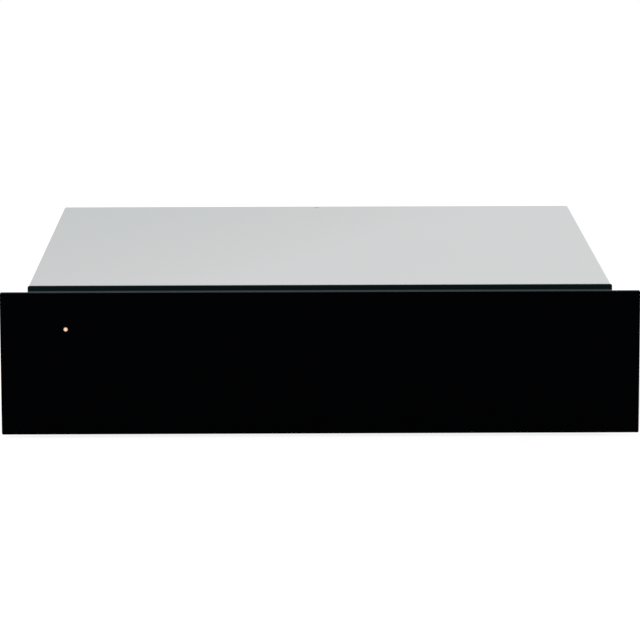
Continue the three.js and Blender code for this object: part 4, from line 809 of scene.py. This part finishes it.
# %% Fill the cages with balls
balls_per_row = 7
for cage, at in (("outer_ball_cage", outer_ball), ("inner_ball_cage", inner_ball)):
    low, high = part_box(cage + "_right")
    middle_y = (low.y + high.y) / 2
    step = (high.y - low.y - 8 * ball_radius) / (balls_per_row - 1)
    for side, sign in (("left", -1), ("right", 1)):
        name = f"{cage}_{side}"
        places = [
            (sign * at.x, middle_y + (index - (balls_per_row - 1) / 2) * step, height)
            for index in range(balls_per_row)
            for height in (at.y, 2 * runner_middle - at.y)
        ]
        balls = [copy_of(model_ball, f"{name}_ball_{number}") for number in range(len(places))]
        active(balls[0])
        for ball, place in zip(balls, places):
            ball.data.transform(Matrix.Translation(place))
            ball.select_set(True)
        bpy.ops.object.join()
        fit(named(name + "_balls"), body_of[name], polished)
bpy.data.objects.remove(model_ball)
print("balls:", balls_per_row * 8)

# %% [markdown]
# ## Screws and rivets
# A pan-head screw is one model: a drum with a rounded head and a cross recess, sunk by two crossed
# blocks. A rivet is a low dome. A thread could be modelled too, but it is always inside the sheet.
# Each is copied to its place with its own mesh, and turned to the face that it sits on.

# %% Model one screw and one rivet
FACING = {
    "+X": Matrix.Rotation(pi / 2, 4, "Y"), "-X": Matrix.Rotation(-pi / 2, 4, "Y"),
    "+Y": Matrix.Rotation(-pi / 2, 4, "X"), "-Y": Matrix.Rotation(pi / 2, 4, "X"),
    "+Z": Matrix.Identity(4),
}
head_radius = 3.4 * MM
head_height = 2 * MM
model_screw = drum("model_screw", (0, 0, head_height / 2), "Z", head_radius, head_height, 24)
pick(model_screw, "FACE", faces_up)
bpy.ops.mesh.inset(thickness=0.5 * MM)
done_editing()


def on_rim(a, b):
    return min(a.z, b.z) > 1.9 * MM and min(a.xy.length, b.xy.length) > 3.2 * MM


rounded_edges(model_screw, on_rim, 0.8 * MM, 3)
head_top = Vector((0, 0, head_height))
for size in ((2.0, 0.35, 0.7), (0.35, 2.0, 0.7)):
    half = Vector(size) * MM
    cut_by(model_screw, block("recess", head_top - half, head_top + half))
smooth(model_screw, 35)
model_rivet = drum("model_rivet", (0, 0, 0.45 * MM), "Z", 3.0 * MM, 0.9 * MM, 20)
pick(model_rivet, "FACE", faces_up)
bpy.ops.mesh.bevel(offset=0.7 * MM, segments=3, affect="EDGES")
done_editing()
smooth(model_rivet, 40)
print("screw:", len(model_screw.data.polygons), "faces, rivet:", len(model_rivet.data.polygons))


def fasten(model, name, facing, places, body, material=bright):
    """Copies a screw or rivet to its places. Each is left turned a little differently."""
    for number, place in enumerate(places):
        piece = copy_of(model, f"{name}_{number + 1}")
        turned = Matrix.Rotation(radians(20 + 37 * number), 4, "Z")
        piece.data.transform(Matrix.Translation(place) @ FACING[facing] @ turned)
        fit(piece, body, material)
    print(name, "x", len(places))


# %% Put the screws and rivets in
side_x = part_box("side_panel_right")[1].x
back_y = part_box("back_panel")[1].y
wall_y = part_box("front_wall")[1].y
grille_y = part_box("drawer_back_wall")[0].y
tub_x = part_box("under_cover")[1].x
for side, sign, outward, inward in (("left", -1, "-X", "+X"), ("right", 1, "+X", "-X")):
    at_bracket = [(sign * side_x, y, z) for y in (-0.215, -0.02, 0.175) for z in (0.037, 0.099)]
    fasten(model_rivet, f"bracket_rivet_{side}", outward, at_bracket, "housing", zinc)
    on_tub = [(sign * tub_x, y, runner_middle) for y in (-0.18, -0.02, 0.14)]
    fasten(model_rivet, f"tub_rivet_{side}", inward, on_tub, "drawer", brushed)
around_back = [(x, back_y, z) for x in (-0.255, 0.255) for z in (0.016, 0.122)]
around_back += [(x, back_y, 0.122) for x in (-0.09, 0.09)]
fasten(model_screw, "back_panel_screw", "+Y", around_back, "housing")
on_wall = [(x, wall_y, z) for x in (-0.13, 0.0, 0.13, 0.228) for z in (0.044, 0.096)]
fasten(model_screw, "front_wall_screw", "+Y", on_wall, "drawer")
on_grille_wall = [(x, grille_y, z) for x in (-0.235, 0.235) for z in (0.04, 0.096)]
fasten(model_screw, "back_wall_screw", "-Y", on_grille_wall, "drawer")

# %% [markdown]
# ## Copies that only need finishing
# Moulded casings, turned parts and thin covers could be built again from blocks and drums, but their
# solids already have the true shape, so they are copied too. Each gets its edges broken by its own
# width, because a moulded corner is rounder than a cut one, and is shaded smooth up to its own angle.

# %% Finish moulded casings and small metal parts
def finished_copy(name, title, material, width, segments=2, angle=50, shade=38):
    piece = merged_copy(name, title)
    if width:
        eased(piece, width, segments, angle)
    level_shaded(piece, shade)
    fit(piece, body_of[name], material, [name])
    print(title, len(piece.data.polygons), "faces")


finished_copy("control_housing", "control_casing", black_plastic, 0.4 * MM)
finished_copy("control_fascia", "control_cover", black_plastic, 0.5 * MM, 3)
finished_copy("switch_body", "switch_bezel", black_plastic, 0.3 * MM)
finished_copy("thermostat_body", "thermostat_casing", grey_plastic, 0.3 * MM)
finished_copy("thermostat_shaft", "thermostat_spindle", bright, 0.4 * MM)
finished_copy("lamp_holder", "lamp_socket", grey_plastic, 0.4 * MM)
finished_copy("neon_lamp", "neon_bulb", lit, None, shade=60)
finished_copy("light_guide", "guide_rod", lit, 0.2 * MM, shade=50)
finished_copy("fan_impeller", "fan_wheel", brushed, None, shade=50)
finished_copy("fan_shaft", "fan_spindle", bright, 0.3 * MM, shade=50)
finished_copy("striker_plate", "striker", bright, 0.3 * MM)
finished_copy("latch_plunger", "plunger_rod", bright, 0.5 * MM, shade=45)
finished_copy("terminal_box", "mains_box", black_plastic, 0.5 * MM)
finished_copy("terminal_box_cover", "mains_box_lid", black_plastic, 0.5 * MM)
finished_copy("terminal_block", "mains_terminals", ceramic, 0.4 * MM)
finished_copy("gland_nut", "gland_lock_nut", grey_plastic, 0.3 * MM)

# %% [markdown]
# ## The scale and the knob
# The knob turns inside a scale of printed bars that grow with the heat, with no words. A mask in the
# material could print them, but bars with a thickness stay sharp from close by. Each bar is modelled
# straight ahead of the knob's axis and swung to its mark. The knob is turned in steps from a drum:
# skirt, slope, and a grip with two rings of points between its ends. Every other pair of these points
# is drawn in towards the axis, which makes the flutes, and a raised rib with a white line on its top
# shows where the knob points.

# %% Print the scale
pivots = {joint["name"]: Vector(joint["pos_m"]) for joint in frame["joints"] if "pos_m" in joint}
knob_axis = pivots["thermostat_turn"]
fascia_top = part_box("control_fascia")[1].z
knob_low, knob_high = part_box("thermostat_knob")
knob_radius = (knob_high.x - knob_low.x) / 2
knob_off = radians(225)
knob_swing = radians(270)
marks = 10
on_cover = Matrix.Translation((knob_axis.x, knob_axis.y, fascia_top))
for number in range(marks):
    half = (0.18 + 0.055 * number) * MM
    low = (knob_radius + 1.6 * MM, -half, 0)
    high = (knob_radius + 4.4 * MM, half, 0.12 * MM)
    bar = block(f"scale_mark_{number + 1}", low, high)
    eased(bar, 0.04 * MM, 1)
    angle = knob_off - knob_swing * number / (marks - 1)
    bar.data.transform(on_cover @ Matrix.Rotation(angle, 4, "Z"))
    fit(bar, "drawer", white_print)
print("scale:", marks, "bars round", tuple(round(v, 4) for v in knob_axis))

# %% Turn the knob
sides = 64
skirt, slope = 1.6 * MM, 1.6 * MM
foot_rim, head_rim = 0.6 * MM, 1.6 * MM
foot, top = knob_low.z, knob_high.z - 0.8 * MM
flute_low, flute_high = foot + skirt + slope + foot_rim, top - head_rim
knob = drum("fluted_knob", (knob_axis.x, knob_axis.y, foot + skirt / 2), "Z", knob_radius, skirt, sides)
pick(knob, "FACE", faces_up)
bpy.ops.mesh.inset(thickness=2.4 * MM)
bpy.ops.transform.translate(value=(0, 0, slope))
bpy.ops.mesh.inset(thickness=0.6 * MM)
for rise in (foot_rim, flute_high - flute_low, head_rim):
    bpy.ops.mesh.extrude_region_move(TRANSFORM_OT_translate={"value": (0, 0, rise)})
bpy.ops.mesh.inset(thickness=2.2 * MM)
bpy.ops.transform.translate(value=(0, 0, -0.4 * MM))
done_editing()


def in_flute(at):
    turned_by = atan2(at.y - knob_axis.y, at.x - knob_axis.x) / (2 * pi) * sides
    outside = (at - knob_axis).xy.length > knob_radius - 3.2 * MM
    return outside and flute_low - 1e-6 < at.z < flute_high + 1e-6 and round(turned_by) % 4 < 2


pick(knob, "VERT", in_flute)
bpy.ops.transform.resize(value=(0.93, 0.93, 1), center_override=knob_axis)
done_editing()
rounded_edges(knob, lambda a, b: min(a.z, b.z) > top - 0.05 * MM, 0.5 * MM, 3)
smooth(knob, 40)
fit(knob, "knob", black_plastic, ["thermostat_knob"])
print("knob:", len(knob.data.polygons), "faces")

# %% Set the pointer on the knob
turned_off = Matrix.Translation((knob_axis.x, knob_axis.y, 0)) @ Matrix.Rotation(knob_off, 4, "Z")
rib = block("knob_rib", (2 * MM, -1.1 * MM, top - 0.8 * MM), (13.4 * MM, 1.1 * MM, knob_high.z - 0.1 * MM))
eased(rib, 0.35 * MM, 3)
line_foot = knob_high.z - 0.4 * MM
line = block("knob_line", (3.5 * MM, -0.45 * MM, line_foot), (13 * MM, 0.45 * MM, knob_high.z))
eased(line, 0.15 * MM, 2)
for piece, material in ((rib, black_plastic), (line, white_print)):
    smooth(piece)
    piece.data.transform(turned_off)
    fit(piece, "knob", material)
    print(piece.name, len(piece.data.polygons), "faces")

# %% [markdown]
# ## The rocker
# The rocker's solid has the saddle that a finger fits, so its copy gets round edges. A white bar lies
# on the end that switches the drawer on. It could be modelled in place, but a bar that lies level is
# simpler: it is laid on the saddle's slope, and then tipped with the rocker about its axle.

# %% Make the rocker
finished_copy("power_rocker", "rocker_saddle", black_plastic, 0.7 * MM, 3, 25, 40)
axle = pivots["rocker_tip"]
tip = radians(7)
rise, end_rise = 3 * MM, 1.5 * MM
half_length = (axle.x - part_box("power_rocker")[0].x) / cos(tip)
slope = atan2(end_rise, half_length)
mark_at = 0.6 * half_length
mark = block("rocker_mark", (-0.45 * MM, -2.4 * MM, -0.2 * MM), (0.45 * MM, 2.4 * MM, 0.1 * MM))
eased(mark, 0.08 * MM, 1)
on_saddle = Matrix.Translation((-mark_at, 0, rise - (half_length - mark_at) * end_rise / half_length))
tipped = Matrix.Translation(axle) @ Matrix.Rotation(tip, 4, "Y")
mark.data.transform(tipped @ on_saddle @ Matrix.Rotation(slope, 4, "Y"))
fit(mark, "rocker", white_print)
print("mark:", round(mark_at / MM, 1), "mm from the rocker's axle")

# %% [markdown]
# ## The grille wall
# The wall's solid has the arc slots of the air inlet and the straight slots of the warm air outlets.
# A ring is pressed up round the inlet to stiffen the sheet. It could be spun from the wall's own
# mesh, but the slots are in its way. So a torus is set on the wall and flattened towards it, with its
# rear half sunk in the sheet.

# %% Finish the wall and press its ring
finished_copy("drawer_back_wall", "grille_wall", brushed, 0.1 * MM, 1, 60, 30)
wheel_low, wheel_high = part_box("fan_impeller")
wheel_middle = (wheel_low + wheel_high) / 2
ring_at = Vector((wheel_middle.x, grille_y + 0.3 * MM, wheel_middle.z))
deselect()
bpy.ops.mesh.primitive_torus_add(
    location=ring_at, rotation=TURNED["Y"], major_segments=72, minor_segments=12,
    major_radius=wheel_high.z - wheel_middle.z + 5.5 * MM, minor_radius=1.6 * MM,
)
bpy.ops.object.transform_apply(location=True, rotation=True, scale=True)
ring = named("grille_ring")
pick(ring, "VERT")
bpy.ops.transform.resize(value=(1, 0.45, 1), center_override=ring_at)
done_editing()
smooth(ring, 80)
fit(ring, "drawer", brushed)
print("ring:", len(ring.data.polygons), "faces")

# %% [markdown]
# ## Motor, heater and cut-out
# A shaded-pole motor is a stack of stamped sheets with one coil. The stack's solid is copied, and two
# long rivets hold it together. The coil could be one long helix, but closed rings look the same and
# stay solid. So it is wound turn by turn: one turn is a flat ring with round corners, cut from a
# block, and an array stacks the turns between two flanges. The heater is one bent tube whose ends
# pass through ceramic bushes. Its tabs, and those of the cut-out, take push-on connectors.

# %% Finish the motor core
finished_copy("motor_core", "laminated_core", core, 0.25 * MM, 2, 50, 45)
core_low, core_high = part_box("motor_core")
from_edge = 7 * MM
rivet_places = [
    (core_low.x + from_edge, core_high.y - 3.2 * MM, height)
    for height in (core_low.z + from_edge, core_high.z - from_edge)
]
fasten(model_rivet, "core_rivet", "+Y", rivet_places, "drawer")

# %% Wind the coil
coil_low, coil_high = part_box("motor_coil")
wire = 0.95 * MM
flange = 1.2 * MM
turns = int((coil_high.z - coil_low.z - 2 * flange) / wire)
first_turn = (coil_low.z + coil_high.z - turns * wire) / 2


def coil_slab(name, height, thickness, shrink):
    """A slab across the coil with round corners, open where the core's limb passes."""
    low = Vector((coil_low.x + shrink, coil_low.y + shrink, height))
    high = Vector((coil_high.x - shrink, coil_high.y - shrink, height + thickness))
    slab = block(name, low, high)
    rounded_edges(slab, lambda a, b: abs(a.z - b.z) > 0.5 * MM, 3 * MM, 4)
    limb_low = (coil_low.x + 7.4 * MM, coil_low.y + 2.7 * MM, height - 1 * MM)
    limb_high = (coil_high.x - 4 * MM, coil_high.y - 2.9 * MM, height + thickness + 1 * MM)
    return cut_by(slab, block("limb_space", limb_low, limb_high))


def on_outside(a, b):
    """The level edges round the outside of a turn, and not those next to the limb."""
    return abs(a.z - b.z) < 1e-6 and (
        max(a.x, b.x) > coil_high.x - 3.6 * MM or min(a.x, b.x) < coil_low.x + 3.6 * MM
        or max(a.y, b.y) > coil_high.y - 0.6 * MM or min(a.y, b.y) < coil_low.y + 0.6 * MM
    )


winding = coil_slab("coil_turns", first_turn, wire * 0.96, 0.5 * MM)
rounded_edges(winding, on_outside, 0.36 * MM, 2, clamp_overlap=True)
repeated(winding, turns, (0, 0, wire))
smooth(winding, 60)
fit(winding, "drawer", copper, ["motor_coil"])
for name, height in (("lower", coil_low.z), ("upper", coil_high.z - flange)):
    end = coil_slab(f"coil_flange_{name}", height, flange, 0)
    eased(end, 0.2 * MM, 2, 40)
    smooth(end)
    fit(end, "drawer", grey_plastic)
print("coil:", turns, "turns,", len(winding.data.polygons), "faces")

# %% Finish the heater and the cut-out
def spade_tab(name, middle, low, high, along, corner):
    """A flat tab for a push-on connector, with the corners of its free end cut off."""
    low, high = middle + Vector(low) * MM, middle + Vector(high) * MM
    end = low[along] + 1 * MM
    tab = block(name, low, high)
    rounded_edges(tab, lambda a, b: abs(a.z - b.z) > 0.5 * MM and max(a[along], b[along]) < end, corner, 1)
    eased(tab, 0.12 * MM, 1, 40)
    fit(tab, "drawer", bright)


finished_copy("heating_element", "heater_tube", heat_tinted, None, shade=70)
heater_low, heater_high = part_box("heating_element")
leg_y = ((heater_low + heater_high) / 2).y
leg_drop = 10 * MM
for name, height in (("lower", -leg_drop), ("upper", leg_drop)):
    at = Vector((heater_low.x + 4 * MM, leg_y, pivots["fan_turn"].z + height))
    bush = drum(f"heater_bush_{name}", at, "X", 4.6 * MM, 10 * MM, 24)
    pick(bush, "FACE", lambda middle, normal: normal.x < -0.9)
    bpy.ops.mesh.inset(thickness=1.4 * MM)
    bpy.ops.mesh.extrude_region_move(TRANSFORM_OT_translate={"value": (-1.5 * MM, 0, 0)})
    done_editing()
    eased(bush, 0.4 * MM, 2, 40)
    smooth(bush, 45)
    fit(bush, "drawer", ceramic)
    spade_tab(f"heater_tab_{name}", at, (-14, -3.1, -0.4), (-6, 3.1, 0.4), 0, 1.2 * MM)
finished_copy("thermal_cutout", "cutout_capsule", bright, 0.3 * MM, 2, 50, 45)
cutout_low, cutout_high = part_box("thermal_cutout")
at = Vector(((cutout_low.x + cutout_high.x) / 2, cutout_low.y, (cutout_low.z + cutout_high.z) / 2))
for name, x in (("left", -3.4), ("right", 3.4)):
    spade_tab(f"cutout_tab_{name}", at, (x - 2.4, -7, -0.4), (x + 2.4, 0.5, 0.4), 1, 1.0 * MM)

# %% [markdown]
# ## The push latch
# The latch's casing is moulded in two halves that meet in a seam. A thin groove could be cut with
# blocks, but it would have to follow the casing's outline. So two cuts with bisect mark a narrow band
# round the casing at half its height, and the band is drawn in at the sides and the back. The plunger
# ends in a rubber tip with a rounded face.

# %% Make the casing's seam
casing = merged_copy("latch_body", "latch_casing")
latch_low, latch_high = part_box("latch_body")
seam_at = (latch_low.z + latch_high.z) / 2
for height in (seam_at - 0.25 * MM, seam_at + 0.25 * MM):
    pick(casing, "VERT")
    bpy.ops.mesh.bisect(plane_co=(0, 0, height), plane_no=(0, 0, 1))
    done_editing()


def in_seam(middle, normal):
    """The band's faces at the sides and the back of the casing."""
    in_band = abs(middle.z - seam_at) < 0.2 * MM and abs(normal.z) < 0.1
    return in_band and (abs(middle.x) > latch_high.x - 1 * MM or middle.y > latch_high.y - 1 * MM)


pick(casing, "FACE", in_seam)
bpy.ops.mesh.extrude_region_shrink_fatten(TRANSFORM_OT_shrink_fatten={"value": -0.4 * MM})
done_editing()
eased(casing, 0.3 * MM, 2, 50)
smooth(casing)
fit(casing, "housing", grey_plastic, ["latch_body"])
print("casing:", len(casing.data.polygons), "faces")

# %% Round the plunger's tip
tip_low, tip_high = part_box("plunger_tip")
tip_face = tip_low.y + 0.1 * MM
tip_middle = (tip_low + tip_high) / 2
cap = drum("plunger_cap", tip_middle, "Y", (tip_high.x - tip_low.x) / 2, tip_high.y - tip_low.y, 40)
rounded_edges(cap, lambda a, b: max(a.y, b.y) < tip_face, 1.6 * MM, 5)
stepped(cap, faces_front, (1.2 * MM, 0.4 * MM), (0, 0.5 * MM, 0))
smooth(cap, 50)
fit(cap, "plunger", rubber, ["plunger_tip"])
print("tip:", len(cap.data.polygons), "faces")
screws_on_latch = [(across * MM, y, latch_high.z) for across in (-12, 12) for y in (0.224, 0.261)]
fasten(model_screw, "latch_screw", "+Z", screws_on_latch, "housing")

# %% [markdown]
# ## The mains connection
# The gland's solid has its hexagon and its bore. Its outer corners are drawn in as on any nut, and a
# rubber insert with a round hole sits in the bore, ready to grip a cord. The hole could be cut with
# a drum, but bridging two inset ends leaves a cleaner mesh. The lid and the terminals get their
# screws, which are smaller copies of the same screw.

# %% Finish the gland
def rubber_ring(name, middle, axis, radius, depth, wall, edge):
    """A short drum whose two ends are inset and bridged, which leaves a bore through it."""
    ring = drum(name, middle, axis, radius, depth)
    pick(ring, "FACE", lambda middle, normal: abs(normal["XYZ".index(axis)]) > 0.9)
    bpy.ops.mesh.inset(thickness=wall)
    bpy.ops.mesh.bridge_edge_loops()
    done_editing()
    eased(ring, edge, 2, 40)
    smooth(ring, 45)
    return ring


finished_copy("cable_gland", "gland_body", black_plastic, 0.5 * MM, 2, 40, 40)
gland_low, gland_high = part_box("cable_gland")
gland_middle = (gland_low + gland_high) / 2
insert_at = (gland_middle.x, gland_high.y - 3 * MM, gland_middle.z)
insert = rubber_ring("gland_insert", insert_at, "Y", 3.45 * MM, 4 * MM, 0.9 * MM, 0.25 * MM)
fit(insert, "housing", rubber)

# %% Set the small screws
small = 0.62
small_screw = copy_of(model_screw, "small_screw")
small_screw.data.transform(Matrix.Scale(small, 4))
lid_low, lid_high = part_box("terminal_box_cover")
from_corner = 5 * MM
at_lid_corners = [
    (x, y, lid_high.z)
    for x in (lid_low.x + from_corner, lid_high.x - from_corner)
    for y in (lid_low.y + from_corner, lid_high.y - from_corner)
]
fasten(small_screw, "lid_screw", "+Z", at_lid_corners, "housing")
poles = 5
poles_low, poles_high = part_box("terminal_block")
pole_pitch = (poles_high.x - poles_low.x) / poles
on_poles = [
    (poles_low.x + (pole + 0.5) * pole_pitch, y, poles_high.z - 0.6 * MM)
    for pole in range(poles)
    for y in (poles_low.y + 3.6 * MM, poles_high.y - 3.6 * MM)
]
fasten(small_screw, "terminal_screw", "+Z", on_poles, "housing")

# %% Set the top plate's screw
plate_screw = copy_of(small_screw, "plate_fixing_screw")
screw_low, screw_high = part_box("top_plate_screw")
scale = (screw_high.x - screw_low.x) / (2 * head_radius * small)
plate_screw.data.transform(Matrix.Scale(scale, 4))
screw_top = max(vertex.co.z for vertex in plate_screw.data.vertices)
screw_middle = (screw_low + screw_high) / 2
plate_screw.data.transform(Matrix.Translation((screw_middle.x, screw_middle.y, screw_high.z - screw_top)))
fit(plate_screw, "housing", zinc, ["top_plate_screw"])
bpy.data.objects.remove(small_screw)
print("plate screw:", round(2 * (screw_high.x - screw_middle.x) / MM, 1), "mm across")

# %% [markdown]
# ## The supply loom
# The loom is a rubber sleeve that leaves the terminal box, turns back in one loop and goes into the
# drawer. A curve with a round section would do for one that lies still, but this one bends as the
# drawer runs, so it is drawn as a mesh. A round section is drawn straight along the back, spun half a
# turn, drawn back, and spun a quarter turn into the drawer's cover. It hangs between the housing and
# the drawer, and is left with neither body. A collar holds it at each end.

# %% Measure the loom's runs
loom_low, loom_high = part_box("supply_loom")
sleeve = (loom_high.z - loom_low.z) / 2
height = (loom_high.z + loom_low.z) / 2
back_run = loom_high.y - sleeve
bend = 17 * MM
front_run = back_run - 2 * bend
turn_x = loom_high.x - sleeve - bend
entry_x = loom_low.x + 17.7 * MM
entry_bend = front_run - loom_low.y
print("loom:", round(2 * sleeve / MM, 1), "mm thick, runs", round(2 * bend / MM), "mm apart")

# %% Draw and spin the loom
deselect()
bpy.ops.mesh.primitive_circle_add(
    vertices=16, radius=sleeve, fill_type="NGON",
    location=(loom_low.x, back_run, height), rotation=TURNED["X"],
)
bpy.ops.object.transform_apply(location=True, rotation=True, scale=True)
loom = named("loom_tube")
pick(loom, "FACE")


def draw_on(distance, steps=8):
    for _ in range(steps):
        bpy.ops.mesh.extrude_region_move(TRANSFORM_OT_translate={"value": (distance / steps, 0, 0)})


def spin_round(x, y, angle, steps):
    bpy.ops.mesh.spin(steps=steps, angle=angle, center=(x, y, height), axis=(0, 0, 1))


draw_on(turn_x - loom_low.x)
spin_round(turn_x, back_run - bend, pi, 40)
draw_on(entry_x + entry_bend - turn_x)
spin_round(entry_x + entry_bend, front_run - entry_bend, -pi / 2, 10)
bpy.ops.mesh.select_all(action="SELECT")
bpy.ops.mesh.normals_make_consistent(inside=False)
done_editing()
smooth(loom, 50)
loom.data.materials.append(loom_sleeve)
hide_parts("supply_loom")
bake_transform(loom)
print("loom:", len(loom.data.polygons), "faces")

# %% Hold it by a collar at each end
collar_depth = 3 * MM
collar_radius = 5.4 * MM
for name, body, axis, at in (
    ("box", "housing", "X", (loom_low.x + collar_depth / 2, back_run, height)),
    ("drawer", "drawer", "Y", (entry_x, loom_low.y + collar_depth / 2, height)),
):
    wall = collar_radius - sleeve - 0.05 * MM
    collar = rubber_ring(f"loom_collar_{name}", at, axis, collar_radius, collar_depth, wall, 0.6 * MM)
    fit(collar, body, rubber)
    print(collar.name, len(collar.data.polygons), "faces")

# %% [markdown]
# ## Insulation
# Mineral wool is cut from a blanket, so its faces are a little uneven and its cut sides fray. Each pad
# is a block with eased edges, divided into a fine grid, whose faces sink a little by a cloud texture.
# A soft brush in sculpt mode would also do it, but the texture repeats exactly on each run.

# %% Make the wool pads
clouds = bpy.data.textures.new("wool_unevenness", "CLOUDS")
clouds.noise_scale = 0.02
for name, title in (("front_insulation", "front_wool"), ("floor_insulation", "floor_wool")):
    pad = block(title, *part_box(name))
    pick(pad, "VERT")
    bpy.ops.mesh.subdivide(number_cuts=36)
    done_editing()
    eased(pad, 0.12 * MM, 2)
    modified(pad, "DISPLACE", texture=clouds, texture_coords="LOCAL", strength=-0.5 * MM, mid_level=0)
    smooth(pad, 80)
    fit(pad, "drawer", wool, [name])
    print(title, len(pad.data.polygons), "faces")

# %% Put the models away
for model in (model_screw, model_rivet):
    bpy.data.objects.remove(model)
